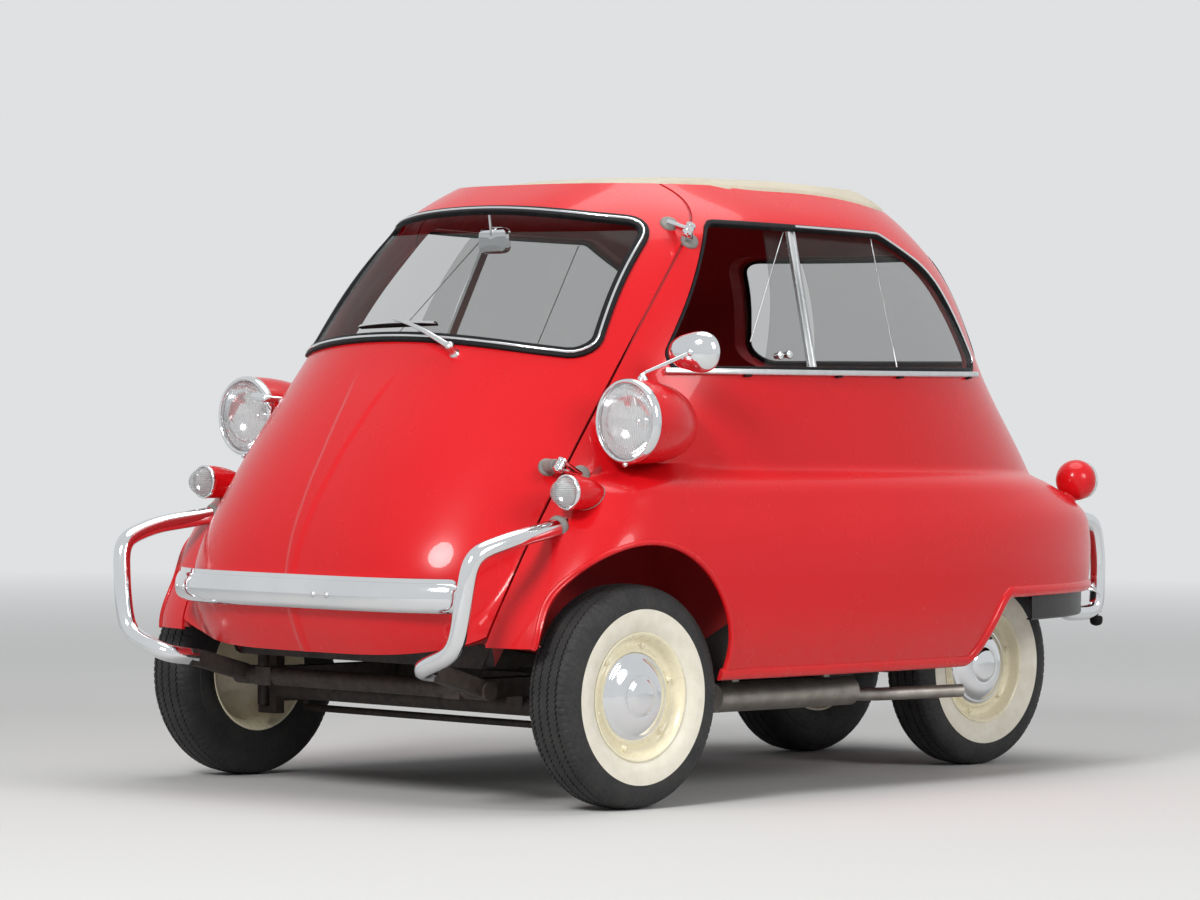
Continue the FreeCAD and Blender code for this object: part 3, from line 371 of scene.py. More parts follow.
def outlineGap(spots, loop):
    # distance from each flat point to a closed outline, negative inside it, where a level line
    # from the point crosses the outline an odd number of times
    ends = np.roll(loop, -1, 0)
    run = ends - loop
    best = np.full(len(spots), 9.0)
    turns = np.zeros(len(spots))
    for start, along, end in zip(loop, run, ends):
        off = spots - start
        t = np.clip(off @ along / (along @ along), 0, 1)
        best = np.minimum(best, np.hypot(*(off - t[:, None] * along).T))
        crosses = (start[1] > spots[:, 1]) != (end[1] > spots[:, 1])
        side = start[0] + (spots[:, 1] - start[1]) / (along[1] if along[1] else 1e-12) * along[0] > spots[:, 0]
        turns += crosses & side
    return np.where(turns % 2 == 1, -best, best)


def trimmed(points, tris, field):
    # keeps the side where field is positive; a triangle that the zero line crosses is cut along it
    value = field(points)
    value = np.where(np.abs(value) < 1e-9, 1e-9, value)
    inside = value[tris] > 0
    count = inside.sum(1)
    whole = tris[count == 3]
    one, two = tris[count == 1], tris[count == 2]
    turn = np.arange(3)
    lead = np.argmax(inside[count == 1], 1)
    one = np.take_along_axis(one, (lead[:, None] + turn) % 3, 1)
    lead = np.argmin(inside[count == 2], 1)
    two = np.take_along_axis(two, (lead[:, None] + turn) % 3, 1)
    edges = np.concatenate([one[:, [0, 1]], one[:, [0, 2]], two[:, [0, 1]], two[:, [0, 2]]])
    edges.sort(axis=1)
    edges, number = np.unique(edges, axis=0, return_inverse=True)
    number = number.ravel() + len(points)
    a, b = value[edges[:, 0]], value[edges[:, 1]]
    part = (a / (a - b))[:, None]
    fresh = points[edges[:, 0]] * (1 - part) + points[edges[:, 1]] * part
    p, q, r, s = np.split(number, np.cumsum([len(one), len(one), len(two)]))
    cut = [np.stack([one[:, 0], p, q], -1), np.stack([r, two[:, 1], two[:, 2]], -1),
           np.stack([r, two[:, 2], s], -1)]
    tris = np.concatenate([whole] + cut)
    points = np.concatenate([points, fresh])
    used, tris = np.unique(tris, return_inverse=True)
    return points[used], tris.reshape(-1, 3)


def netOf(reachOf, angles, heights):
    # the skin at each angle and height, as triangles
    angle, high = np.meshgrid(angles, heights)
    reach = reachOf(angle, high)
    spots = np.stack([reach * np.sin(angle), hubY - reach * np.cos(angle), high], -1)
    points, faceSets, _ = gridShape(spots)
    return points, trisOf(faceSets[0])


def closeSeam(points, tris):
    # points that coincide become one, and a triangle that loses a corner by it goes
    key = np.round(points / 1e-6).astype(np.int64)
    _, first, number = np.unique(key, axis=0, return_index=True, return_inverse=True)
    tris = number.ravel()[tris]
    return points[first], tris[(tris[:, 0] != tris[:, 1]) & (tris[:, 1] != tris[:, 2])
                               & (tris[:, 2] != tris[:, 0])]


def cornerNormals(points, tris):
    # each point's normal is the sum of its triangles' normals, weighted by their areas
    face = np.cross(points[tris[:, 1]] - points[tris[:, 0]], points[tris[:, 2]] - points[tris[:, 0]])
    total = np.zeros_like(points)
    for k in range(3):
        np.add.at(total, tris[:, k], face)
    return unit(total)


def sheetShape(points, tris, thick):
    # a sheet of even thickness: the skin, its copy moved inwards along the normals, and a rim between them
    inner = points - cornerNormals(points, tris) * thick
    edges = np.concatenate([tris[:, [0, 1]], tris[:, [1, 2]], tris[:, [2, 0]]])
    size = len(points)
    back = set((edges[:, 1].astype(np.int64) * size + edges[:, 0]).tolist())
    code = edges[:, 0].astype(np.int64) * size + edges[:, 1]
    rim = edges[~np.isin(code, np.fromiter(back, np.int64))]
    walls = np.stack([rim[:, 1], rim[:, 0], rim[:, 0] + size, rim[:, 1] + size], -1)
    return np.concatenate([points, inner]), [tris, tris[:, ::-1] + size, walls], [0, 1, 0]


# openings and seams
windowForm = {
    # corners and their roundings: side window as (y, z), the others as (x, z)
    "side": ([(-.585, .914), (-.352, 1.24), (.19, 1.228), (.352, 1.15), (.5, .918)],
             [.03, .03, .06, .2, .03]),
    "screen": ([(-.45, .94), (-.402, 1.238), (0, 1.283), (.402, 1.238), (.45, .94), (0, 1.0)],
               [.032, .06, 2.4, .06, .032, 2.4]),
    "rear": ([(-.37, .93), (-.3, 1.195), (.3, 1.195), (.37, .93)], [.05, .06, .06, .05]),
}
seamForm = {
    # height, half width, and where the skin lies there
    "line": np.array([[.293, .442, -1.0], [.7, .492, -.82], [.93, .49, -.655],
                      [1.215, .447, -.4], [1.42, .425, -.3]]),
    "slant": .6, "topY": -.35, "topZ": 1.318, "corner": .11, "gap": .006, "low": .293,
}
archForm = {"y": -.754, "z": .304, "radius": .25, "inner": .56}
tailForm = {"start": .305, "end": .45, "low": .262, "high": .415}
noseForm = {"start": -.9, "run": .06, "rise": .078, "doorLow": .3136, "doorBow": .034, "doorHalf": .44}
sideLoop = bentLine(*windowForm["side"], closed=True)
screenLoop = bentLine(*windowForm["screen"], closed=True)
rearLoop = bentLine(*windowForm["rear"], closed=True)


def seamGap(points):
    # how far outside the door's outline a point is: the side seam and the upper seam with a round corner between
    x, y, z = points.T
    line = seamForm["line"]
    slant = seamForm["slant"]
    half = throughKnots(line[:, 0], line[:, 1], z) + slant * (throughKnots(line[:, 0], line[:, 2], z) - y)
    side = (np.abs(x) - half) / math.hypot(1, slant)
    top = (y - seamForm["topY"]) * .866 + (z - seamForm["topZ"]) * .5
    return np.where(y < 0, softMax(side, top, seamForm["corner"]), 9.0)


def tailEdge(y):
    # the lower edge seen from the side: level, and a smooth step up towards the tail
    rise = smoothStep((y - tailForm["start"]) / (tailForm["end"] - tailForm["start"]))
    return tailForm["low"] + (tailForm["high"] - tailForm["low"]) * rise


def lowEdge(y):
    # the body's lower edge: the tail's, raised again in front of the wheels
    return tailEdge(y) + noseForm["rise"] * smoothStep((noseForm["start"] - y) / noseForm["run"])


def doorLowEdge(x):
    # the door's lower edge, bowed down in the middle
    return noseForm["doorLow"] + noseForm["doorBow"] * (np.abs(x) / noseForm["doorHalf"]) ** 4


def evenAngles(reachOf, high, count, start=-math.pi, end=math.pi):
    # angles at which the oval at that height is stepped off evenly
    fine = np.linspace(start, end, 4001)
    reach = reachOf(fine, np.full_like(fine, high))
    x, y = reach * np.sin(fine), -reach * np.cos(fine)
    walked = np.concatenate([[0], np.cumsum(np.hypot(np.diff(x), np.diff(y)))])
    return np.interp(np.linspace(0, walked[-1], count), walked, fine)


def evenHeights(reachOf, low, high, count):
    # heights at which the side profile is stepped off evenly
    fine = np.linspace(low, high, 2001)
    side = reachOf(np.full_like(fine, math.pi / 2), fine)
    front = reachOf(np.zeros_like(fine), fine)
    walked = np.concatenate([[0], np.cumsum(np.sqrt(np.diff(fine) ** 2 + np.maximum(np.diff(side) ** 2,
                                                                               np.diff(front) ** 2)))])
    return np.interp(np.linspace(0, walked[-1], count), walked, fine)


# Finishes have their grain in metres of the object's own coordinates.

def grain(nodes, links, size, detail=3, stretch=(1, 1, 1), kind="ShaderNodeTexNoise"):
    # a texture that repeats, or has its clouds, at the given size; stretch draws it out along an axis
    where = nodes.new("ShaderNodeTexCoord")
    scaled = nodes.new("ShaderNodeMapping")
    period = .314 if "Wave" in kind else 1        # a wave texture repeats every 0.314 of its coordinate
    scaled.inputs["Scale"].default_value = [s * period / size for s in stretch]
    texture = nodes.new(kind)
    texture.inputs["Scale"].default_value = 1
    if kind == "ShaderNodeTexNoise":
        texture.inputs["Detail"].default_value = detail
    links.new(where.outputs["Object"], scaled.inputs["Vector"])
    links.new(scaled.outputs["Vector"], texture.inputs["Vector"])
    return texture


def spread(nodes, links, source, low, high, fromLow=.3, fromHigh=.7):
    # carries fromLow..fromHigh on to low..high in a straight line
    span = nodes.new("ShaderNodeMapRange")
    span.inputs["From Min"].default_value, span.inputs["From Max"].default_value = fromLow, fromHigh
    span.inputs["To Min"].default_value, span.inputs["To Max"].default_value = low, high
    links.new(source, span.inputs["Value"])
    return span.outputs["Result"]


def blendColours(nodes, links, factor, first, second):
    # first * (1 - factor) + second * factor; each is a colour or a socket
    mix = nodes.new("ShaderNodeMix")
    mix.data_type = "RGBA"
    for socket, colour in zip((mix.inputs[6], mix.inputs[7]), (first, second)):
        if isinstance(colour, (tuple, list)):
            socket.default_value = (*colour, 1)
        else:
            links.new(colour, socket)
    links.new(factor, mix.inputs[0])
    return mix.outputs[2]


def newFinish(name, colours, patch, rough, metal=0, bump=None, stretch=(1, 1, 1), dust=None, **fixed):
    # colours: the two ends of a cloudy variation of the given patch size; rough: its smoothest and dullest;
    # bump: how high and how wide its ripples are
    made = bpy.data.materials.new(name)
    made.use_nodes = True
    nodes, links = made.node_tree.nodes, made.node_tree.links
    shader = nodes["Principled BSDF"]
    cloud = grain(nodes, links, patch, 4)
    colour = blendColours(nodes, links, spread(nodes, links, cloud.outputs["Fac"], 0, 1), *colours)
    if dust:
        # road dust that thins out with height
        where = nodes.new("ShaderNodeTexCoord")
        apart = nodes.new("ShaderNodeSeparateXYZ")
        links.new(where.outputs["Object"], apart.inputs[0])
        low = spread(nodes, links, apart.outputs["Z"], dust["most"], 0, dust["from"], dust["to"])
        speck = grain(nodes, links, .02, 6)
        product = nodes.new("ShaderNodeMath")
        product.operation = "MULTIPLY"
        links.new(low, product.inputs[0])
        links.new(spread(nodes, links, speck.outputs["Fac"], .2, 1), product.inputs[1])
        colour = blendColours(nodes, links, product.outputs[0], colour, dust["colour"])
    links.new(colour, shader.inputs["Base Color"])
    fine = grain(nodes, links, patch / 7, 5, stretch)
    links.new(spread(nodes, links, fine.outputs["Fac"], *rough), shader.inputs["Roughness"])
    if metal:
        shader.inputs["Metallic"].default_value = metal
    if bump:
        high, wide = bump
        ripple = grain(nodes, links, wide, 2, stretch)
        relief = nodes.new("ShaderNodeBump")
        relief.inputs["Strength"].default_value = 1
        relief.inputs["Distance"].default_value = high
        links.new(ripple.outputs["Fac"], relief.inputs["Height"])
        links.new(relief.outputs["Normal"], shader.inputs["Normal"])
    for socket, value in fixed.items():
        shader.inputs[socket.replace("_", " ")].default_value = value
    return made


roadDust = {"most": .3, "from": .26, "to": .42, "colour": (.3, .19, .14)}
redPaint = newFinish("redPaint", ((.62, .006, .01), (.66, .008, .013)), .6, (.25, .28),
                     dust=dict(roadDust, most=.08), Specular_IOR_Level=.2, Coat_Weight=.28, Coat_Roughness=.03)
# the same red paint for the inside faces and the dashboard: satin, and darker than the outer paint, where the
# darker tone is painted shade
innerRed = newFinish("innerRed", ((.33, .008, .012), (.42, .012, .016)), .12, (.42, .6), bump=(.0001, .006),
                     dust=roadDust)
darkPaint = newFinish("darkPaint", ((.012, .012, .013), (.026, .025, .024)), .06, (.48, .72), bump=(.0003, .008),
                      dust=dict(roadDust, most=.15, to=.4), Specular_IOR_Level=.35)
creamPaint = newFinish("creamPaint", ((.8, .73, .52), (.86, .79, .58)), .08, (.24, .34), bump=(.00003, .003),
                       Coat_Weight=.5, Coat_Roughness=.1)
chromeMetal = newFinish("chromeMetal", ((.74, .76, .78), (.8, .81, .82)), .1, (.05, .11), metal=1.0,
                        bump=(.00001, .01))
brightTrim = newFinish("brightTrim", ((.62, .63, .64), (.72, .73, .73)), .04, (.2, .34), metal=1.0,
                       bump=(.00002, .001), stretch=(1, 8, 8))
castMetal = newFinish("castMetal", ((.16, .16, .165), (.27, .27, .27)), .03, (.45, .65), metal=.8,
                      bump=(.0004, .004))
wornSteel = newFinish("wornSteel", ((.33, .3, .27), (.47, .44, .4)), .05, (.36, .6), metal=.9, bump=(.0002, .004))
tyreRubber = newFinish("tyreRubber", ((.012, .012, .013), (.026, .025, .024)), .05, (.62, .82),
                       bump=(.0002, .0012))
whiteRubber = newFinish("whiteRubber", ((.74, .7, .58), (.84, .8, .69)), .03, (.5, .66), bump=(.0001, .002))
sealRubber = newFinish("sealRubber", ((.006, .006, .007), (.013, .013, .014)), .02, (.42, .58),
                       bump=(.0001, .0015), Specular_IOR_Level=.12)
greyRubber = newFinish("greyRubber", ((.17, .16, .15), (.26, .25, .23)), .02, (.5, .68), bump=(.0001, .002))
blackPlastic = newFinish("blackPlastic", ((.008, .008, .009), (.015, .015, .016)), .03, (.3, .42),
                         bump=(.00005, .002), Specular_IOR_Level=.3)
ivoryPlastic = newFinish("ivoryPlastic", ((.72, .67, .5), (.79, .74, .58)), .05, (.2, .3), bump=(.00003, .003))
platePaint = newFinish("platePaint", ((.8, .8, .77), (.86, .86, .83)), .04, (.32, .42), bump=(.00004, .002))
floorMat = newFinish("floorMat", ((.03, .028, .027), (.055, .05, .046)), .03, (.75, .92), bump=(.001, .004),
                     stretch=(1, 6, 1))
silvered = newFinish("silvered", ((.86, .87, .88), (.92, .92, .93)), .05, (.07, .13), metal=1.0,
                     bump=(.00002, .02))


def newGlass(name, colour, clear, ribs=None, patch=.2):
    # a sheet that lets part of the light straight through; ribs are a wave across it
    made = newFinish(name, colour, patch, (.02, .05))
    nodes, links = made.node_tree.nodes, made.node_tree.links
    shader = nodes["Principled BSDF"]
    shader.inputs["Specular IOR Level"].default_value = .5
    shader.inputs["IOR"].default_value = 1.5
    if ribs:
        wave = grain(nodes, links, ribs["pitch"], kind="ShaderNodeTexWave")
        wave.bands_direction = ribs["along"]
        relief = nodes.new("ShaderNodeBump")
        relief.inputs["Distance"].default_value = ribs["deep"]
        links.new(wave.outputs["Fac"], relief.inputs["Height"])
        links.new(relief.outputs["Normal"], shader.inputs["Normal"])
    through = nodes.new("ShaderNodeBsdfTransparent")
    both = nodes.new("ShaderNodeMixShader")
    both.inputs[0].default_value = 1 - clear
    links.new(through.outputs[0], both.inputs[1])
    links.new(shader.outputs[0], both.inputs[2])
    links.new(both.outputs[0], nodes["Material Output"].inputs["Surface"])
    return made


windowGlass = newGlass("windowGlass", ((.03, .04, .038), (.045, .055, .05)), .8)
lampGlass = newGlass("lampGlass", ((.62, .66, .66), (.74, .77, .77)), .66,
                     ribs={"pitch": .0055, "along": "X", "deep": .0022}, patch=.03)
signalGlass = newGlass("signalGlass", ((.4, .42, .42), (.6, .62, .62)), .45,
                       ribs={"pitch": .0042, "along": "Z", "deep": .0022}, patch=.02)
redLens = newGlass("redLens", ((.42, .004, .006), (.52, .008, .01)), .12,
                   ribs={"pitch": .004, "along": "X", "deep": .001}, patch=.03)


weaveForm = {"patch": .12, "wander": 1.2, "shade": (.2, .17, .13), "most": .22}


def wovenFinish(name, colours, thread, rough, deep, **fixed):
    # two crossing waves make the weave, with painted shade between the threads; a soft cloud of colour lies over
    # it
    made = newFinish(name, colours, weaveForm["patch"], rough, **fixed)
    nodes, links = made.node_tree.nodes, made.node_tree.links
    shader = nodes["Principled BSDF"]
    crossed = nodes.new("ShaderNodeMath")
    crossed.operation = "MULTIPLY"
    for k, direction in enumerate(("X", "Y")):
        wave = grain(nodes, links, thread, kind="ShaderNodeTexWave")
        wave.bands_direction = direction
        wave.inputs["Distortion"].default_value = weaveForm["wander"]
        links.new(wave.outputs["Fac"], crossed.inputs[k])
    relief = nodes.new("ShaderNodeBump")
    relief.inputs["Distance"].default_value = deep
    links.new(crossed.outputs[0], relief.inputs["Height"])
    links.new(relief.outputs["Normal"], shader.inputs["Normal"])
    base = shader.inputs["Base Color"].links[0].from_socket
    # where the crossed waves are low, between the threads, the colour is drawn towards the shade colour: painted
    # shade
    between = spread(nodes, links, crossed.outputs[0], 0.0, weaveForm["most"], .5, 0.0)
    links.new(blendColours(nodes, links, between, base, weaveForm["shade"]), shader.inputs["Base Color"])
    return made


canvasCloth = wovenFinish("canvasCloth", ((.6, .54, .41), (.7, .64, .5)), .0016, (.78, .92), .0004,
                          Sheen_Weight=.2)
seatCloth = wovenFinish("seatCloth", ((.36, .085, .07), (.46, .12, .095)), .0022, (.62, .82), .0004,
                        Sheen_Weight=.3)
slotFinish = {
    "red_paint": redPaint, "dark_paint": darkPaint, "cream_paint": creamPaint, "chrome": chromeMetal,
    "aluminium": brightTrim, "cast_metal": castMetal, "worn_steel": wornSteel, "tyre": tyreRubber,
    "clear_glass": windowGlass, "red_lens": redLens, "canvas": canvasCloth, "seat_cover": seatCloth,
    "black_plastic": blackPlastic, "ivory_plastic": ivoryPlastic, "blank_plate": platePaint,
}
usualSlot = {finish.name: slot for slot, finish in slotFinish.items()}
usualSlot.update(innerRed="red_paint", silvered="chrome", sealRubber="black_plastic", greyRubber="black_plastic",
                 floorMat="black_plastic", lampGlass="clear_glass", signalGlass="clear_glass")

# finishes for the CAD nodes that stay in sight
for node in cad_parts.values():
    for place in node.material_slots:
        place.material = slotFinish[place.material.name.split(".")[0]]
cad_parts["dashboard"].material_slots[0].material = innerRed
print("finishes made")


# body skin and door skin
skinForm = {"columns": 471, "rows": 124, "countAt": .45, "low": .262, "high": 1.325, "thick": .008,
            "coreDepth": .005, "coreAside": .4, "darkUnder": .34, "darkRun": .08, "windowsPast": .3,
            "doorColumns": 231, "doorRows": 110, "doorTurn": 1.15, "spineColumns": 41, "spineTurn": .1}
doorSpine = {"rise": .0045, "edge": .014, "top": .93, "fade": .1,
             "high": [.4, .5, .62, .74, .84, .93], "half": [.01, .013, .02, .031, .046, .068]}


def opening(points, loop, side):
    # how far a point is outside a window, for points on the given side of the car only
    flat = points[:, [1, 2]] if side == "sides" else points[:, [0, 2]]
    past = skinForm["windowsPast"]
    here = {"sides": np.abs(points[:, 0]) > past, "front": points[:, 1] < -past,
            "back": points[:, 1] > past}[side]
    field = np.ones(len(points))
    field[here] = outlineGap(flat[here], loop)
    return field


def archGap(points):
    # how far a point is outside the wheel arch's circle, on the flanks only
    away = np.hypot(points[:, 1] - archForm["y"], points[:, 2] - archForm["z"]) - archForm["radius"]
    return np.where(np.abs(points[:, 0]) > archForm["inner"], away, 1.0)


def makeBodySkin():
    # the whole skin as a net, with the door, the arches, the lower edge and the windows cut away
    angles = evenAngles(bodyReach, skinForm["countAt"], skinForm["columns"])
    heights = evenHeights(bodyReach, skinForm["low"], skinForm["high"], skinForm["rows"])
    points, tris = closeSeam(*netOf(bodyReach, angles, heights))
    for field in (seamGap, archGap, lambda p: p[:, 2] - lowEdge(p[:, 1]),
                  lambda p: opening(p, sideLoop, "sides"), lambda p: opening(p, rearLoop, "back")):
        points, tris = trimmed(points, tris, field)
    return sheetShape(points, tris, skinForm["thick"])


def skinReach(angle, high):
    # the body's reach, with a raised spine on the door that widens upwards and fades below the screen
    reach = bodyReach(angle, high)
    half = np.interp(high, doorSpine["high"], doorSpine["half"])
    x = np.abs(reach * np.sin(angle))
    step = smoothStep((half + doorSpine["edge"] / 2 - x) / doorSpine["edge"])
    fade = smoothStep((doorSpine["top"] - high) / doorSpine["fade"])
    return reach + doorSpine["rise"] * step * fade * (np.cos(angle) > 0)


def makeDoorSkin():
    # the same for the nose, with more columns at the spine; what lies past the seam is cut away
    turn, spine = skinForm["doorTurn"], skinForm["spineTurn"]
    angles = evenAngles(skinReach, skinForm["countAt"], skinForm["doorColumns"], -turn, turn)
    angles = np.sort(np.concatenate([angles, np.linspace(-spine, spine, skinForm["spineColumns"])]))
    heights = evenHeights(skinReach, seamForm["low"] + seamForm["gap"], skinForm["high"], skinForm["doorRows"])
    points, tris = netOf(skinReach, angles, heights)
    for field in (lambda p: -seamGap(p) - seamForm["gap"], lambda p: p[:, 2] - doorLowEdge(p[:, 0]),
                  lambda p: opening(p, screenLoop, "front")):
        points, tris = trimmed(points, tris, field)
    return sheetShape(points, tris, skinForm["thick"])


def meshPoints(mesh):
    # a mesh's points as rows of x, y, z
    points = np.empty(len(mesh.vertices) * 3)
    mesh.vertices.foreach_get("co", points)
    return points.reshape(-1, 3)


def nodeNet(node):
    # a CAD node's own points and triangles, merged
    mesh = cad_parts[node].data
    mesh.calc_loop_triangles()
    tris = np.empty(len(mesh.loop_triangles) * 3, np.int32)
    mesh.loop_triangles.foreach_get("vertices", tris)
    return closeSeam(meshPoints(mesh), tris.reshape(-1, 3))


def coreShape(node):
    # the node's mesh with everything outside the skin drawn in under it, and lifted over the skin's
    # lower edge at the nose; the body's lowest faces take the dark finish
    points, tris = nodeNet(node)
    isDoor = node == "door_panel"
    over = standOff(bodyReach, points) + skinForm["coreDepth"]
    level = np.hypot(points[:, 0], points[:, 1] - hubY)
    share = np.where(over > 0, (level - over) / level, 1)[:, None]
    points[:, :2] = [0, hubY] + (points[:, :2] - [0, hubY]) * share
    edge = doorLowEdge(points[:, 0]) if isDoor else lowEdge(points[:, 1])
    ahead = (points[:, 1] < noseForm["start"]) & (np.abs(points[:, 0]) > (0 if isDoor else skinForm["coreAside"]))
    points[:, 2] = np.where(ahead, np.maximum(points[:, 2], edge + skinForm["coreDepth"]), points[:, 2])
    high, low = points[tris][:, :, 2], skinForm["darkUnder"]
    dark = (high.mean(1) < low) | ((high.min(1) < low) & (high.max(1) < low + skinForm["darkRun"]))
    return points, [tris], [0 if isDoor else dark.astype(int)]


# the inner faces of the skins and the cores take the darker red, which is painted shade inside the body
bodySkin = makePiece("bodySkin", makeBodySkin(), (redPaint, innerRed), "body", ["body_shell"], sharp=42)
bodyCore = makePiece("bodyCore", coreShape("body_shell"), (innerRed, darkPaint), "body", ["body_shell"], sharp=30)
doorSkin = makePiece("doorSkin", makeDoorSkin(), (redPaint, innerRed), "door", ["door_panel"], sharp=42)
makePiece("doorCore", coreShape("door_panel"), innerRed, "door", ["door_panel"], sharp=30)
print("skins made:", len(bodySkin.data.polygons), len(doorSkin.data.polygons), len(bodyCore.data.polygons))


farOut = {"sides": .9, "sidesSpan": .85, "front": -1.4, "back": 1.4}     # where a walk to the skin starts


def castLoop(loop, side):
    # a flat outline carried on to the skin along the axis it was drawn across, from far outside inwards
    start = np.full(len(loop), farOut[side])
    if side == "sides":
        return landOn(bodyReach, np.stack([start, loop[:, 0], loop[:, 1]], -1), [-1, 0, 0], farOut["sidesSpan"])
    return landOn(bodyReach, np.stack([loop[:, 0], start, loop[:, 1]], -1), [0, -np.sign(farOut[side]), 0])


def shifted(loop, by):
    # a closed flat outline moved outwards by an even step, whichever way it runs
    ahead = unit(np.roll(loop, -1, 0) - np.roll(loop, 1, 0))
    area = np.sum(loop[:, 0] * np.roll(loop[:, 1], -1) - loop[:, 1] * np.roll(loop[:, 0], -1))
    out = np.stack([ahead[:, 1], -ahead[:, 0]], -1) * np.sign(area)
    return loop + out * by


def padSection(wide, high, shoulder=.35, steps=5):
    # a flat strip with shoulders that are quarter circles, standing on a base let into the skin
    corner = min(wide, high) * shoulder
    turn = np.linspace(0, math.pi / 2, steps)
    right = np.stack([wide / 2 - corner + corner * np.cos(turn), high - corner + corner * np.sin(turn)], -1)
    left = np.stack([-right[::-1, 0], right[::-1, 1]], -1)
    return np.concatenate([[[wide / 2, -high * .4]], right, left, [[-wide / 2, -high * .4]]])[::-1]


rubberForm = {"wide": .024, "sideWide": .014, "high": .008, "insert": .006, "insertHigh": .0105,
              "insertShoulder": .45, "reveal": .004, "slim": .55, "insertFrom": (-.11, 1.236),
              "insertTo": (.47, .93)}


def gasketShape(loop, side):
    # rubber all round the opening, with a bright strip let into its middle; on the side windows
    # the rubber is narrower up the front, and the strip runs over the back part alone
    inner = castLoop(shifted(loop, -rubberForm["reveal"]), side)
    up = skinNormal(bodyReach, inner)
    keep, slim, wide = np.arange(len(inner)), 0, rubberForm["wide"]
    if side == "sides":
        ahead = unit(np.roll(inner, -1, axis=0) - np.roll(inner, 1, axis=0))
        slim = smoothStep((np.abs(ahead[:, 2]) - .5) / .3) * (inner[:, 1] < inner[:, 1].mean())
        first, last = (nearestIndex(loop, rubberForm[end]) for end in ("insertFrom", "insertTo"))
        keep = np.arange(first, last if first < last else last + len(inner)) % len(inner)
        wide = rubberForm["sideWide"]
    rubber = sweptShape(inner, padSection(wide, rubberForm["high"]), up, closed=True,
                        sizes=np.ones(len(inner)) - rubberForm["slim"] * slim)
    section = padSection(rubberForm["insert"], rubberForm["insertHigh"], rubberForm["insertShoulder"])
    return rubber, sweptShape(inner[keep], section, up[keep], closed=side != "sides")


def nearestIndex(loop, spot):
    # the outline's point with the smallest distance to a spot
    return int(np.argmin(np.hypot(*(loop - spot).T)))


for name, loop, side, body in (("screen", screenLoop, "front", "door"), ("rear", rearLoop, "back", "body"),
                               ("side", sideLoop, "sides", "body")):
    rubber, strip = gasketShape(loop, side)
    if side == "sides":
        makePiece("sideRubbers", bothSides(rubber), sealRubber, body)
        makePiece("sideStrips", bothSides(strip), chromeMetal, body)
    else:
        makePiece(name + "Rubber", rubber, sealRubber, body)
        makePiece(name + "Strip", strip, chromeMetal, body)


# wheels
wheelForm = {
    "radius": .235, "crown": 2.2, "steps": 480,
    "grooves": [-.034, -.012, .012, .034], "grooveHalf": .0021, "grooveDeep": .0036,
    "zig": .0022, "zigs": 120, "blocks": 96, "blockShare": .19, "blockDeep": .0022,
    "whiteIn": .133, "whiteOut": .1835,
    "nuts": 6, "nutRing": .1095, "nutOut": .0268, "nutTurn": .3,
}
frontWheels = {"x": .6, "y": -.75, "z": .235}
rearWheels = {"x": .26, "y": .75, "z": .235}


def tyreProfile():
    # from the inner bead over the tread to the outer bead: along the axle, radius, and a mark,
    # which is 1 at a groove and 2 at a shoulder; the tread's radius falls with the square of the place
    w = wheelForm
    wall = np.array([[.04, .1275], [.0465, .128], [.0485, w["whiteIn"]], [.05, .136], [.053, .142], [.056, .148],
                     [.059, .157], [.0604, .17], [.0606, w["whiteOut"]], [.0598, w["whiteOut"] + .0006],
                     [.0602, .193], [.0592, .203], [.057, .211], [.0545, .217]])
    shoulder = np.array([[.053, .2195], [.051, .2235], [.048, .2272], [.044, .2298]])
    tread = []
    for g in w["grooves"]:
        crown = w["radius"] - w["crown"] * g * g
        h, d = w["grooveHalf"], w["grooveDeep"]
        tread += [[g - h, crown, 1], [g - h * .6, crown - d, 1], [g + h * .6, crown - d, 1], [g + h, crown, 1]]
        middle = g + .011
        if g < w["grooves"][-1]:
            tread.append([middle, w["radius"] - w["crown"] * middle * middle, 0])
    tread = np.array(tread)
    outer = np.concatenate([np.c_[wall, np.zeros(len(wall))], np.c_[shoulder, np.full(len(shoulder), 2)]])
    return np.concatenate([outer * [-1, 1, 1], tread, outer[::-1]])


def tyreShape(centre, outSide):
    # the profile turned about the axle, its grooves swung in a zigzag and its shoulders cut into blocks
    rows = tyreProfile()
    w = wheelForm
    mark = rows[:, 2:3]

    def wave(along, radius, angle):
        turn = angle * w["zigs"] / (2 * math.pi)
        zig = w["zig"] * (2 * np.abs(2 * (turn - np.floor(turn + .25)) - .5) - 1)
        block = (angle * w["blocks"] / (2 * math.pi)) % 1 < w["blockShare"]
        return along + zig * (mark == 1), radius - w["blockDeep"] * block * (mark == 2)

    low, high = rows[:-1, 1], rows[1:, 1]
    slack = .0002
    white = ((rows[:-1, 0] > 0) & (np.minimum(low, high) > w["whiteIn"] - slack)
             & (np.maximum(low, high) < w["whiteOut"] + slack))
    points, faceSets, kinds = turnedNet(rows[:, :2], centre, (outSide, 0, 0), w["steps"], white.astype(int), wave)
    # the gap between the beads is closed under the rim
    steps, last = w["steps"], (len(rows) - 1) * w["steps"]
    turn = np.arange(steps)
    faceSets = faceSets + [np.stack([turn + last, np.roll(turn, -1) + last, np.roll(turn, -1), turn], -1)]
    return outwards((points, faceSets, kinds + [0]))


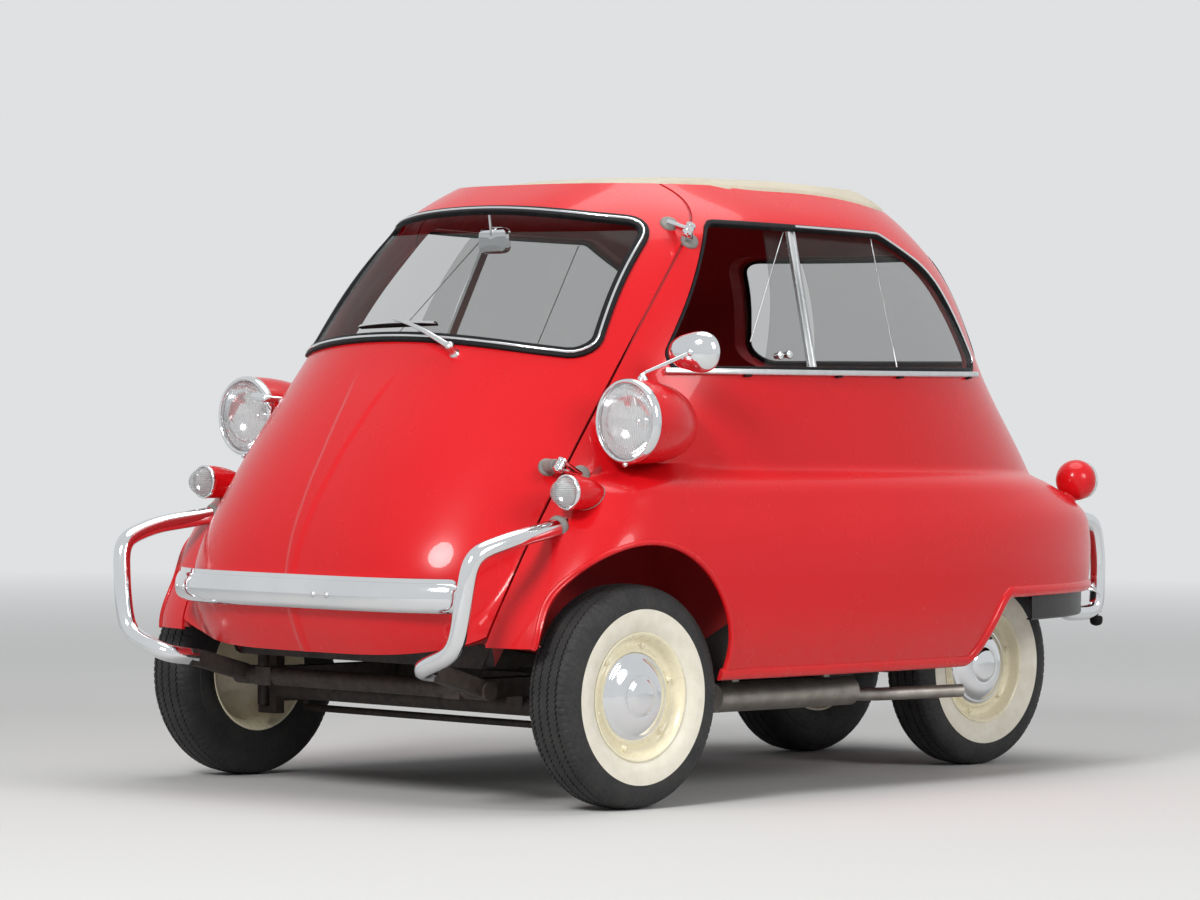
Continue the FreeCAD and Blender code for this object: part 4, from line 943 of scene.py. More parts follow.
rimProfile = [(.03, .0005), (.03, .06), (.03, .082), (.0335, .088), (.034, .098), (.0312, .1015),
              (.028, .106), (.0272, .113), (.0295, .1185), (.035, .1215), (.04, .1235), (.046, .1262),
              (.0505, .129), (.053, .1325), (.0518, .1358), (.0498, .1352), (.048, .13), (.04, .1262),
              (.02, .118), (-.02, .118), (-.04, .1262), (-.048, .13), (-.0498, .1352), (-.0518, .134),
              (-.05, .129), (-.04, .1225), (-.02, .1135), (.015, .1135), (.02, .106), (.024, .09),
              (.024, .05), (.024, .0005)]
capProfile = [(.0275, .0005), (.0275, .093), (.03, .0948), (.033, .0945), (.0362, .0918), (.0385, .088),
              (.039, .0845), (.0398, .0825), (.0455, .074), (.05, .064), (.0528, .054), (.0538, .047),
              (.0536, .044), (.0528, .042), (.054, .0395), (.0572, .0345), (.0592, .027), (.0604, .017),
              (.0608, .008), (.0609, .0005)]
nutProfile = [(0, .0004), (0, .009), (.0022, .009), (.003, .007), (.0062, .0062), (.008, .0042), (.0088, .0004)]


def softened(profile):
    # each run of a profile keeps its middle half, which cuts the corners
    profile = np.array(profile, float)
    a, b = profile[:-1], profile[1:]
    cut = np.stack([a * .75 + b * .25, a * .25 + b * .75], 1).reshape(-1, profile.shape[1])
    return np.concatenate([profile[:1], cut, profile[-1:]])


def turnedPart(profile, centre, axis, steps=96):
    # a softened profile in a full circle round the axis, its faces pointing outwards
    return turnedShape(softened(profile), centre, axis, steps)


def rimShape(centre, outSide):
    # the turned disc with its nuts evenly round it
    w, nuts = wheelForm, []
    for k in range(w["nuts"]):
        angle = 2 * math.pi * k / w["nuts"] + w["nutTurn"]
        shift = [outSide * w["nutOut"], w["nutRing"] * math.cos(angle), w["nutRing"] * math.sin(angle)]
        nuts.append(turnedShape(nutProfile, np.array(centre) + shift, (outSide, 0, 0), 20))
    return joined(turnedPart(rimProfile, centre, (outSide, 0, 0), 120), *nuts)


def capShape(centre, outSide):
    # the turned cover over the hub
    return turnedPart(capProfile, centre, (outSide, 0, 0), 120)


for side, sign in (("left", 1), ("right", -1)):
    hub = (sign * frontWheels["x"], frontWheels["y"], frontWheels["z"])
    wheelBody = "wheel_front_" + side
    makePiece(f"frontTyre.{side}", tyreShape(hub, sign), (tyreRubber, whiteRubber), wheelBody,
              [f"tyre_front_{side}"])
    makePiece(f"frontRim.{side}", rimShape(hub, sign), creamPaint, wheelBody, [f"rim_front_{side}"])
    makePiece(f"frontCap.{side}", capShape(hub, sign), chromeMetal, wheelBody, [f"hubcap_front_{side}"])
rearHubs = [((sign * rearWheels["x"], rearWheels["y"], rearWheels["z"]), sign) for sign in (1, -1)]
makePiece("rearTyres", joined(*(tyreShape(*hub) for hub in rearHubs)), (tyreRubber, whiteRubber), "rear_wheels",
          ["tyres_rear"])
makePiece("rearRims", joined(*(rimShape(*hub) for hub in rearHubs)), creamPaint, "rear_wheels", ["rims_rear"])
makePiece("rearCaps", joined(*(capShape(*hub) for hub in rearHubs)), chromeMetal, "rear_wheels", ["hubcaps_rear"])
print("wheels made")


# lamps
headForm = {"at": (.6045, -.752, .808), "lens": .0795, "dome": .022, "podRadius": .0885, "podLength": .215,
            "podBend": (-.04, -.012), "podFull": 2.5, "podBack": .01, "hollow": .062}
signalForm = {"at": (.575, -.897, .661), "lens": .032, "dome": .037, "podRadius": .0365, "podLength": .13,
              "podBend": (-.01, -.018), "podFull": 2.2, "podBack": .002, "hollow": .018}
ballForm = {"at": (.408, .967, .669), "radius": .048, "face": .022, "stem": .024, "stemGrows": (.9, 1.25),
            "stemFrom": (-.004, -.012, -.02), "stemTo": (-.034, -.06, -.12)}


def podRings(form, t, turn):
    # middles and radii of rings along a bending line, and a ring of radius one;
    # the line bends with t^2 and the radius falls as (1 - t^full)^(1/2) to a closed tip
    bendX, bendZ = form["podBend"]
    run = form["podBack"] + form["podLength"] * t
    middle = np.array(form["at"]) + np.stack([bendX * t * t, run, bendZ * t * t], -1)
    radius = form["podRadius"] * np.sqrt(np.clip(1 - t ** form["podFull"], 0, 1))
    return middle, radius, np.stack([np.cos(turn), 0 * turn, np.sin(turn)], -1)


def podShape(form):
    # the rings joined, with a rounded lip and a hollow at the open front for the bowl behind the lens
    middle, radius, ring = podRings(form, np.sin(np.linspace(0, math.pi / 2, 40)), fullTurn(72))
    spots = middle[:, None] + (radius + .0002)[:, None, None] * ring
    hollow = np.array([(form["hollow"], .001), (form["hollow"], .95 * form["podRadius"]),
                       (form["podBack"], .965 * form["podRadius"])])
    inside = (np.array(form["at"]) + hollow[:, 1][:, None, None] * ring
              + hollow[:, 0][:, None, None] * np.array([0, 1.0, 0]))
    return outwards(gridShape(np.concatenate([inside, spots]), wrapColumns=True))


def domeProfile(radius, deep, full=2.1, power=.62, rows=14):
    # how far the glass stands forward: deep * (1 - (r / radius)^full)^power
    r = radius * np.sin(np.linspace(math.pi / 2, .012, rows))
    return np.stack([deep * np.clip(1 - (r / radius) ** full, 0, 1) ** power, r], -1)


def frontTurned(profile, at, steps=72):
    # a profile turned about a level line towards the front
    return turnedShape(profile, at, (0, -1, 0), steps)


ringProfile = [(-.017, .084), (-.015, .0898), (-.008, .0908), (-.002, .0904), (.003, .088), (.0055, .0848),
               (.005, .0815), (.002, .079), (-.004, .079)]
bowlProfile = [(-.006, .079), (-.014, .076), (-.03, .069), (-.044, .053), (-.054, .035), (-.058, .018),
               (-.059, .0005)]
bulbProfile = [(-.058, .01), (-.046, .011), (-.04, .01), (-.034, .006), (-.032, .0004)]
signalRing = [(-.008, .033), (-.006, .0372), (.001, .0378), (.004, .035), (.003, .0322), (-.002, .0318)]
signalBowl = [(-.003, .032), (-.01, .026), (-.014, .012), (-.015, .0004)]
tabProfile = [(0.0, .0004), (0.0, .0055), (.004, .0055), (.006, .003), (.0065, .0004)]

makePiece("headPods", bothSides(podShape(headForm)), redPaint, "body", ["lamp_pods"])
makePiece("signalPods", bothSides(podShape(signalForm)), redPaint, "body", ["lamp_pods"])
ringTab = joined(frontTurned(softened(ringProfile), headForm["at"], 96),
                 frontTurned(tabProfile, np.array(headForm["at"]) + [0, -.001, -.0905], 16))
makePiece("headRings", bothSides(ringTab), chromeMetal, "body", ["lamp_rims"])
headBowl = joined(frontTurned(bowlProfile, headForm["at"]), frontTurned(bulbProfile, headForm["at"], 24))
makePiece("headBowls", bothSides(headBowl), silvered, "body")
lensProfile = domeProfile(headForm["lens"], headForm["dome"])
makePiece("headLenses", bothSides(frontTurned(lensProfile, headForm["at"], 96)), lampGlass, "body",
          ["headlamp_lenses"])
makePiece("signalRings", bothSides(frontTurned(softened(signalRing), signalForm["at"])), chromeMetal, "body")
makePiece("signalBowls", bothSides(frontTurned(signalBowl, signalForm["at"])), silvered, "body")
makePiece("signalLenses",
          bothSides(frontTurned(domeProfile(signalForm["lens"], signalForm["dome"]), signalForm["at"])),
          signalGlass, "body", ["signal_lenses"])


def ballShape():
    # a ball cut flat at the back, on a short stem that leans in under it
    b = ballForm
    turn = np.linspace(math.pi - .01, math.acos(b["face"] / b["radius"]), 40)
    profile = np.stack([b["radius"] * np.cos(turn), b["radius"] * np.sin(turn)],
                       -1).tolist() + [[b["face"], .0005]]
    run = np.array(b["at"]) + np.linspace(b["stemFrom"], b["stemTo"], 12)
    stem = tubeShape(run, b["stem"], 32, sizes=np.linspace(*b["stemGrows"], 12))
    return joined(turnedShape(profile, b["at"], (0, 1, 0), 72), stem)


tailAt = np.array(ballForm["at"]) + [0, ballForm["face"], 0]
tailLens = {"radius": .0385, "dome": .0115}
tailRing = [(-.004, .04), (-.002, .044), (.006, .044), (.0085, .0415), (.008, .0385), (.004, .0375)]
makePiece("tailBalls", bothSides(ballShape()), redPaint, "body", ["lamp_pods"])
makePiece("tailRings", bothSides(turnedPart(tailRing, tailAt, (0, 1, 0), 64)), chromeMetal, "body", ["lamp_rims"])
tailDome = turnedShape(domeProfile(tailLens["radius"], tailLens["dome"]), tailAt, (0, 1, 0), 64)
makePiece("tailLenses", bothSides(tailDome), redLens, "body", ["tail_lenses"])
print("lamps made")


# bumpers

def smoothedLine(corners, reach, gap=.006):
    # the straight runs, each point replaced by the mean of the run around it, so every corner becomes a long bend
    corners = np.array(corners, float)
    line = evenly(corners, gap)
    half = max(int(reach / gap / 2), 1)
    for _ in range(2):
        padded = np.concatenate([2 * line[0] - line[half:0:-1], line, 2 * line[-1] - line[-2:-half - 2:-1]])
        total = np.cumsum(np.concatenate([np.zeros((1, 3)), padded]), axis=0)
        line = (total[2 * half + 1:] - total[:-2 * half - 1]) / (2 * half + 1)
    return evenly(line, gap * 1.5)


bumperForm = {
    "tube": .019,
    "front": [(.54, -.85, .594), (.572, -1.04, .567), (.556, -1.15, .535), (.54, -1.158, .42),
              (.522, -1.1585, .334), (.398, -1.152, .292), (.384, -1.08, .284)],
    "frontReach": .07,
    "rear": [(.317, .98, .576), (.322, 1.14, .57), (.322, 1.158, .48), (.322, 1.154, .35), (.318, 1.03, .348),
             (.316, .985, .43)],
    "rearReach": .05,
    "grommet": [(-.008, .0185), (-.007, .024), (-.002, .0252), (.003, .024), (.0055, .0215), (.006, .0188)],
    "bladeHigh": .44, "bladeEnd": .43, "bladeBend": .8, "bladeGap": .008, "bladeTip": .86, "tipRun": .018,
    "blade": [(.0325, -.004), (.0325, .0095), (.03, .014), (.023, .0215), (.013, .0252), (0, .0266),
              (-.014, .0252), (-.024, .0215), (-.03, .0172), (-.031, .014), (-.04, .013), (-.04, -.004)],
    "boltPairs": [-.372, .118], "boltApart": .04, "boltOut": .0262,
    "bolt": [(-.006, .0068), (0.0, .0068), (.0022, .006), (.0042, .0038), (.005, .0004)],
}


def bumperTube(route, reach):
    # the round tube along its smoothed route, and that line
    line = smoothedLine(route, reach)
    return tubeShape(line, bumperForm["tube"], 28), line


frontTube, frontLine = bumperTube(bumperForm["front"], bumperForm["frontReach"])
rearTube, rearLine = bumperTube(bumperForm["rear"], bumperForm["rearReach"])
makePiece("frontTubes", bothSides(frontTube), chromeMetal, "body", ["front_bumpers"])
makePiece("rearTubes", bothSides(rearTube), chromeMetal, "body", ["rear_bumpers"])


def grommetAt(line):
    # a rubber ring where the tube leaves the skin
    outside = standOff(bodyReach, line) > 0
    k = int(np.argmax(outside))
    run = unit(line[min(k + 3, len(line) - 1)] - line[max(k - 3, 0)])
    return turnedPart(bumperForm["grommet"], line[k], run, 48)


makePiece("tubeGrommets", bothSides(joined(grommetAt(frontLine), grommetAt(rearLine))), greyRubber, "body")


def outLevel(line):
    # at each point of a level line, the level direction across it
    return unit(np.cross(np.gradient(line, axis=0), [0, 0, 1.0]))


def bladeShape():
    # a crowned bar with a thin lip along its top, carried across the nose at one height;
    # its ends shrink over a short run as a quarter circle falls
    form = bumperForm
    x = form["bladeEnd"] * np.linspace(-1, 1, 161)
    start = np.stack([x, np.full_like(x, farOut["front"]), np.full_like(x, form["bladeHigh"])], -1)
    line = evenly(landOn(cabinReach, start, [0, 1.0, 0]), form["bladeGap"])
    line[:, 1] = line[:, 1].min() + (line[:, 1] - line[:, 1].min()) * form["bladeBend"]
    out = outLevel(line)
    out *= np.sign(-out[len(out) // 2, 1])
    walked = np.minimum(np.arange(len(line)), np.arange(len(line))[::-1]) * form["bladeGap"]
    full = np.sqrt(np.clip(1 - (1 - walked / form["tipRun"]).clip(0, 1) ** 2, 0, 1))
    size = form["bladeTip"] + (1 - form["bladeTip"]) * full
    return sweptShape(line, form["blade"], out, sizes=size), line, out


bladePiece, bladeLine, bladeOut = bladeShape()
makePiece("bumperBlade", bladePiece, chromeMetal, "door", ["bumper_blade"], sharp=50)
bolts = []
for x in bumperForm["boltPairs"]:
    for shift in (-.5, .5):
        k = int(np.argmin(np.abs(bladeLine[:, 0] - x - shift * bumperForm["boltApart"])))
        place = bladeLine[k] + bladeOut[k] * bumperForm["boltOut"]
        bolts.append(turnedShape(bumperForm["bolt"], place, bladeOut[k], 20))
makePiece("bladeBolts", joined(*bolts), brightTrim, "door")
print("bumpers made")


# rolled lips of the body
lipForm = {"tail": (.026, .0075), "arch": (.011, .0045), "lift": .011, "from": 1.005, "archPast": .004,
           "archTurn": (-8, 188)}


def crownSection(wide, high, steps=9):
    # height falls as a power of the cosine across the width, over a foot let into the skin
    t = np.linspace(1, -1, steps)
    top = np.stack([wide / 2 * t, high * np.clip(np.cos(t * math.pi / 2), 0, 1) ** .6], -1)
    return np.concatenate([top, [[-wide / 2, -.004], [wide / 2, -.004]]])


def onSkinLine(line, section):
    # a section carried along a line on the skin, upright to the skin
    return sweptShape(line, section, skinNormal(bodyReach, line))


def lowerLine(lift, count=500):
    # the skin's lower edge round the tail: place and height are found in turn until they agree
    angle = np.linspace(lipForm["from"], 2 * math.pi - lipForm["from"], count)
    high = np.full(count, tailForm["low"])
    for _ in range(14):
        high = tailEdge(hubY - bodyReach(angle, high) * np.cos(angle)) + lift
    reach = bodyReach(angle, high)
    return evenly(np.stack([reach * np.sin(angle), hubY - reach * np.cos(angle), high], -1), .007)


def archLine():
    # a circle just outside the wheel arch, carried on to the flank and kept above the lower edge
    turn = np.radians(np.linspace(*lipForm["archTurn"], 150))
    radius = archForm["radius"] + lipForm["archPast"]
    flat = np.stack([archForm["y"] + radius * np.cos(turn), archForm["z"] + radius * np.sin(turn)], -1)
    line = castLoop(flat, "sides")
    return line[(line[:, 0] > archForm["inner"]) & (line[:, 2] > lowEdge(line[:, 1]) - .002)]


makePiece("tailLip", onSkinLine(lowerLine(lipForm["lift"]), crownSection(*lipForm["tail"])), redPaint, "body")
makePiece("archLips", bothSides(onSkinLine(archLine(), crownSection(*lipForm["arch"]))), redPaint, "body")

apronForm = {"inset": .014, "from": .56, "low": .357, "high": .425, "thick": .003}


def apronShape():
    # a dark band hung inside the tail, level along its lower edge, its rim turned in
    line = lowerLine(0.0)
    line = line[line[:, 1] > apronForm["from"]]
    out = outLevel(line)
    out *= np.sign(np.sum(out * (line - [0, hubY, 0]), axis=1))[:, None]
    low = apronForm["low"]
    rows = [(-.014, low + .001), (-.004, low), (0, low + .004), (0, .37), (0, .39), (0, apronForm["high"])]
    spots = np.stack([(line + out * (shift - apronForm["inset"])) * [1, 1, 0] + [0, 0, z] for shift, z in rows])
    points, faceSets, _ = gridShape(spots)
    return outwards(sheetShape(points, trisOf(faceSets[0]), apronForm["thick"]))


makePiece("tailApron", apronShape(), blackPlastic, "body")

# flat braces at the tail with their rubber feet, and the feet of the front tubes
braceForm = {
    "line": [(.345, 1.066, .418), (.334, 1.12, .412), (.324, 1.15, .396), (.321, 1.158, .35)],
    "section": [(.016, -.002), (.016, .002), (-.016, .002), (-.016, -.002)], "up": (.2, .8, .3),
    "footAt": (.322, 1.154, .336),
    "foot": [(-.004, .0004), (-.004, .015), (.01, .016), (.018, .012), (.021, .0004)],
}
footForm = {
    "line": [(.389, -1.098, .287), (.386, -1.075, .284), (.374, -.95, .249)], "up": (0, .2, 1),
    "section": [(.019, -.015), (.019, .012), (.015, .017), (-.015, .017), (-.019, .012), (-.019, -.015),
                (-.015, -.019), (.015, -.019)],
}
brace = sweptShape(smoothedLine(braceForm["line"], .03, .004), braceForm["section"], braceForm["up"])
foot = sweptShape(bentLine(footForm["line"], [.03], gap=.01), footForm["section"], footForm["up"])
makePiece("bumperFeet", bothSides(foot), darkPaint, "body")
makePiece("rearBraces", bothSides(brace), chromeMetal, "body")
makePiece("rearFeet", bothSides(turnedPart(braceForm["foot"], braceForm["footAt"], (0, 0, -1), 32)), sealRubber,
          "body")

# window sill strips and their clips
sillForm = {"high": .9135, "from": -.566, "to": .487, "strip": (.0125, .0125, .3),
            "clips": [-.3666, -.0933, .1171, .43], "clip": .017, "clipDrop": .0068, "clipPad": (.006, .01, .3)}


def levelStrip(start, end, high, count, pad):
    # a pad carried along the flank at one height
    flat = np.stack([np.linspace(start, end, count), np.full(count, high)], -1)
    return onSkinLine(castLoop(flat, "sides"), padSection(*pad))


sill = levelStrip(sillForm["from"], sillForm["to"], sillForm["high"], 160, sillForm["strip"])
half, low = sillForm["clip"] / 2, sillForm["high"] - sillForm["clipDrop"]
clips = [levelStrip(y - half, y + half, low, 6, sillForm["clipPad"]) for y in sillForm["clips"]]
makePiece("sillStrips", bothSides(sill), brightTrim, "body")
makePiece("sillClips", bothSides(joined(*clips)), sealRubber, "body")

# side window bars, each a shallow channel that leans back at its foot
postForm = {
    "ends": ((-.166, .915), (-.112, 1.232)), "inset": .005,
    "channel": [(.0115, -.004), (.0115, .004), (.0085, .0055), (.0045, .005), (.0035, .0025),
                (-.0035, .0025), (-.0045, .005), (-.0085, .0055), (-.0115, .004), (-.0115, -.004)],
}


def straightInside(ends, inset, count):
    # a straight line between two places on the flank, a little inside the skin
    spots = castLoop(np.array(ends), "sides") - [inset, 0, 0]
    return np.linspace(spots[0], spots[1], count)


bar = onSkinLine(straightInside(postForm["ends"], postForm["inset"], 50), postForm["channel"])
makePiece("windowBars", bothSides(bar), brightTrim, "body", ["window_posts"])

# the bare edges of the sliding panes, straight from sill to roof; the edges are real, and their bright metal
# finish is a painted glint of the glass edge
paneForm = {"edges": [((-.339, .979), (-.131, 1.229)), ((.123, .929), (.168, 1.216))], "inset": .006,
            "radius": .0014}
edges = [tubeShape(straightInside(ends, paneForm["inset"], 30), paneForm["radius"], 10)
         for ends in paneForm["edges"]]
makePiece("paneEdgeGlints", bothSides(joined(*edges)), brightTrim, "body")

# latch knobs of the panes
knobForm = {"at": [(.587, -.2725, .9495), (.5885, -.2454, .9519)], "run": (1, .05, .1),
            "profile": [(-.006, .0004), (-.006, .0065), (.004, .006), (.006, .0085), (.011, .0092),
                        (.0145, .007), (.016, .0004)]}
knobs = [turnedPart(knobForm["profile"], spot, knobForm["run"], 28) for spot in knobForm["at"]]
makePiece("latchKnobs", bothSides(joined(*knobs)), chromeMetal, "body")
print("edges and window fittings made")


# canvas roof
canvasForm = {"half": .366, "nose": -.345, "back": .45, "middle": -.02, "full": (3.4, 4.4), "edge": .0045,
              "crown": .02, "top": 1.356, "fall": .8, "fallFrom": .02, "fallRun": .34,
              "tuck": .009, "tuckAt": -.172, "tuckRun": .012, "thick": .003,
              "bows": [-.24, .02, .26], "bowWide": .02, "bowHigh": .0012, "crease": .0009,
              "hem": .0012, "hemAt": .925, "hemRun": .008, "tuckIn": .006, "tuckInAt": .985, "lowest": 1.1}


def roofHeight(x, y):
    # height of the skin over a place on the plan; the flat top where the place is inside it
    angle, away = np.arctan2(x, -(y - hubY)), np.hypot(x, y - hubY)
    return halved(lambda high: cabinReach(angle, high) > away,
                  np.full_like(x, canvasForm["lowest"]), np.full_like(x, skinForm["high"]), 30)


def canvasShape():
    # rings of a rounded rectangle on the plan, laid over the roof, with a crown that sinks to the hem,
    # low ridges over the roof bows, and creases made of crossing sines
    form = canvasForm
    share = np.sin(np.linspace(0, math.pi / 2, 64)) ** .9
    turn = fullTurn(360)
    s, a = np.meshgrid(share, turn, indexing="ij")
    c, d = np.cos(a), np.sin(a)
    power = 2 / np.where(d < 0, *form["full"])
    reach = np.where(d < 0, form["middle"] - form["nose"], form["back"] - form["middle"])
    y = form["middle"] + s * (np.sign(d) * np.abs(d) ** power) * reach
    tuck = form["tuck"] * smoothStep((form["tuckAt"] - y) / form["tuckRun"]) * s ** 8
    x = s * np.sign(c) * np.abs(c) ** power * (form["half"] + tuck)
    behind = 1 - form["fall"] * smoothStep((y - form["fallFrom"]) / form["fallRun"])
    bows = sum(np.exp(-((y - spot) / form["bowWide"]) ** 2) for spot in form["bows"]) * (1 - s ** 4)
    creases = np.sin(46 * x + 5 * np.sin(9 * y)) * np.sin(17 * y + 2 * np.sin(12 * x)) * s ** 2 * (1 - s ** 10)
    hem = smoothStep((s - form["hemAt"]) / form["hemRun"]) - 1
    under = smoothStep((s - form["tuckInAt"]) / (1 - form["tuckInAt"]))
    lift = (form["edge"] + form["crown"] * (1 - s ** 6) * behind + form["bowHigh"] * bows
            + form["crease"] * creases + form["hem"] * hem - form["tuckIn"] * under)
    z = np.minimum(roofHeight(x, y) + lift, form["top"])
    points, faceSets, _ = gridShape(np.stack([x, y, z], -1), wrapColumns=True)
    points, tris = closeSeam(points, trisOf(faceSets[0]))
    across = np.cross(points[tris[:, 1]] - points[tris[:, 0]], points[tris[:, 2]] - points[tris[:, 0]])
    if across[:, 2].sum() < 0:
        tris = tris[:, ::-1]
    print("canvas area:", round(float(np.linalg.norm(across, axis=1).sum() / 2), 4))
    points, faceSets, _ = sheetShape(points, tris, form["thick"])
    return points, faceSets, [0, 0, 0]


canvas = makePiece("canvasRoof", canvasShape(), canvasCloth, "body", ["sunroof_canvas"], sharp=60)


# bench
benchForm = {"voxel": .008, "shrink": (.012, .012, .016), "pressure": 4.0, "cap": .024, "frames": 20,
             "quickSwell": .6, "seams": [-.25, 0.0, .25], "groove": .005, "grooveWide": .007, "grooveEnd": .1,
             "over": .006, "within": .001}


def cushionStart(node, turn):
    # the CAD solid's points in its own level frame, drawn in a little on every side
    points, tris = nodeNet(node)
    flat = points @ turn
    low, high = flat.min(0), flat.max(0)
    middle, size = (low + high) / 2, high - low
    return middle + (flat - middle) * (1 - 2 * np.array(benchForm["shrink"]) / size), tris, low, high


def frozen(piece):
    # the piece's mesh with its modifiers worked in
    made = bpy.data.meshes.new_from_object(piece.evaluated_get(bpy.context.evaluated_depsgraph_get()))
    made.name = piece.name + "Mesh"
    return made


def swollen(piece):
    start = meshPoints(piece.data)
    cloth = piece.modifiers.new("cloth", "CLOTH")
    cloth.settings.use_pressure = True
    cloth.settings.uniform_pressure_force = benchForm["pressure"]
    cloth.settings.effector_weights.gravity = 0
    for count in range(1, benchForm["frames"] + 1):
        scene.frame_set(count)
    now = meshPoints(frozen(piece))
    piece.modifiers.clear()
    scene.frame_set(1)
    return now


def makeCushion(name, node, lean, top):
    # swollen by cloth pressure from a smaller block, held to the solid's space, then sewn in channels;
    # lean turns the solid's frame about the level axis, and top is the axis across the face that is sat on
    angle = math.radians(lean)
    turn = np.array([[1, 0, 0], [0, math.cos(angle), -math.sin(angle)], [0, math.sin(angle), math.cos(angle)]])
    points, tris, low, high = cushionStart(node, turn)
    mesh = bpy.data.meshes.new(name)
    mesh.from_pydata(points.tolist(), [], tris.tolist())
    piece = bpy.data.objects.new(name, mesh)
    scene.collection.objects.link(piece)
    remesh = piece.modifiers.new("voxels", "REMESH")
    remesh.mode, remesh.voxel_size = "VOXEL", benchForm["voxel"]
    piece.data = frozen(piece)
    piece.modifiers.clear()
    start = meshPoints(piece.data)
    move = swollen(piece) - start
    far = np.linalg.norm(move, axis=1, keepdims=True)
    spots = start + move * np.minimum(1, benchForm["cap"] / np.maximum(far, 1e-9))
    # channels sink along the face that is sat on, as a bell curve, and end before its edges
    along = (spots - low) / (high - low)
    isSeat = top == 2
    face = smoothStep((along[:, top] if isSeat else 1 - along[:, top]) * 2 - 1)
    rim = np.minimum(along, 1 - along)
    inner = smoothStep(np.delete(rim, top, 1).min(1) / benchForm["grooveEnd"])
    groove = sum(np.exp(-((spots[:, 0] - x) / benchForm["grooveWide"]) ** 2) for x in benchForm["seams"])
    spots[:, top] -= (1 if isSeat else -1) * benchForm["groove"] * groove * face * inner
    over = np.array([0, 0, benchForm["over"] if isSeat else 0])
    spots = np.clip(spots, low + benchForm["within"], high - benchForm["within"] + over)
    spots = spots @ turn.T
    piece.data.vertices.foreach_set("co", np.ascontiguousarray(spots, np.float32).ravel())
    piece.data.update()
    piece.data.shade_smooth()
    piece.data.materials.clear()
    piece.data.materials.append(seatCloth)
    fine = piece.modifiers.new("fine", "SUBSURF")
    fine.levels = fine.render_levels = 1
    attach(piece, "body")
    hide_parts(node)


makeCushion("benchCushion", "seat_cushion", 0, 2)
makeCushion("benchBack", "seat_back", -15, 1)
print("soft parts made")


# small fittings outside

def barBetween(start, end, section, upright, sizes):
    # a straight bar that grows or shrinks evenly from the first size to the last
    steps = 24
    return sweptShape(np.linspace(start, end, steps), section, upright, sizes=np.linspace(*sizes, steps))


def discOn(spot, profile):
    # a turned fitting that stands on the skin: the spot is moved along the normal by its stand-off
    spot = np.array([spot], float)
    normal = skinNormal(bodyReach, spot)
    foot = spot - normal * standOff(bodyReach, spot)[:, None]
    return turnedPart(profile, foot[0], normal[0], 40)


mirrorForm = {"at": (.645, -.584, .955), "face": (-.36, .93, .04), "foot": (.6, -.7, .8985),
              "lobe": .06, "wide": 1.06, "flatten": .27, "neck": .034, "rod": .0041, "baseRun": (.02, -.05, 1),
              "base": [(-.006, .0004), (-.006, .012), (.001, .0115), (.004, .009), (.007, .0055),
                       (.01, .005), (.0115, .0004)],
              "ball": [(-.008, .0004), (-.007, .0055), (0, .0078), (.006, .008), (.009, .011), (.011, .0004)],
              "shell": [(.002, .0004), (.001, .048), (.0045, .05), (.0035, .053), (-.004, .0545), (-.013, .0525),
                        (-.022, .045), (-.029, .033), (-.033, .018), (-.0345, .0004)]}
mirrorShell = softened(mirrorForm["shell"])
mirrorKinds = (np.arange(len(mirrorShell) - 1) < 2).astype(int)


def mirrorWave(along, radius, angle):
    # the radius swings three times round for the corners, and shrinks with sin^2 to lie longer than high
    lobes = 1 + mirrorForm["lobe"] * np.cos(3 * angle + math.pi) * smoothStep(radius / .03)
    return along, radius * lobes * (mirrorForm["wide"] - mirrorForm["flatten"] * np.sin(angle) ** 2)


mirrorHead = turnedShape(mirrorShell, mirrorForm["at"], mirrorForm["face"], 96, mirrorKinds, mirrorWave)
makePiece("mirrorHead", mirrorHead, (chromeMetal, silvered), "body", ["wing_mirror"])
socket = np.array(mirrorForm["at"]) - unit(np.array(mirrorForm["face"])) * mirrorForm["neck"]
mirrorFoot = np.array(mirrorForm["foot"])
rodLine = bentLine([mirrorFoot - [0, 0, .008], mirrorFoot + [.002, .002, .01], socket - [.004, .006, .004],
                    socket + [.003, .003, .001]], [.006, .008], gap=.003)
makePiece("mirrorRod", joined(tubeShape(rodLine, mirrorForm["rod"], 14),
                              turnedPart(mirrorForm["base"], mirrorFoot, mirrorForm["baseRun"], 32),
                              turnedPart(mirrorForm["ball"], socket, mirrorForm["face"], 28)),
          chromeMetal, "body")

# door hinges: barrels and arms ride on the door, lugs on the body, one pair up at the screen and one low down
hingeForm = {
    "high": (.48, -.432, 1.228), "low": (.52, -.862, .716), "slide": -.012,
    "doorPad": (.416, -.433, 1.2346), "bodyPad": (.4573, -.412, 1.1957),
    "lowSleeve": (.474, -.852, .712), "lowPad": (.5103, -.7897, .696),
    "lugOut": .0112, "doorArm": (.9, 1.1), "bodyArm": (.75, .9), "sleeve": .0135, "sleeveIn": .01,
    "barrel": [(-.0062, .0004), (-.0062, .0098), (-.0052, .011), (.0052, .011), (.0062, .0098), (.0062, .0004)],
    "lug": [(-.0046, .0004), (-.0046, .01), (-.0036, .0112), (.0022, .0112), (.004, .0095), (.0048, .006),
            (.006, .005), (.0064, .0004)],
    "pad": [(-.004, .0004), (-.004, .0205), (.002, .02), (.005, .0178), (.0064, .0135), (.0066, .0004)],
    "arm": [(.0085, 0), (.007, .004), (0, .0055), (-.007, .004), (-.0085, 0), (-.007, -.004), (0, -.0055),
            (.007, -.004)],
}
hingeHigh, hingeLow = np.array(hingeForm["high"]), np.array(hingeForm["low"])
hingeRun = unit(hingeHigh - hingeLow)
bodyChrome, bodyRubber, doorChrome, doorRubber = [], [], [], []
hingeHigh = hingeHigh + hingeRun * hingeForm["slide"]
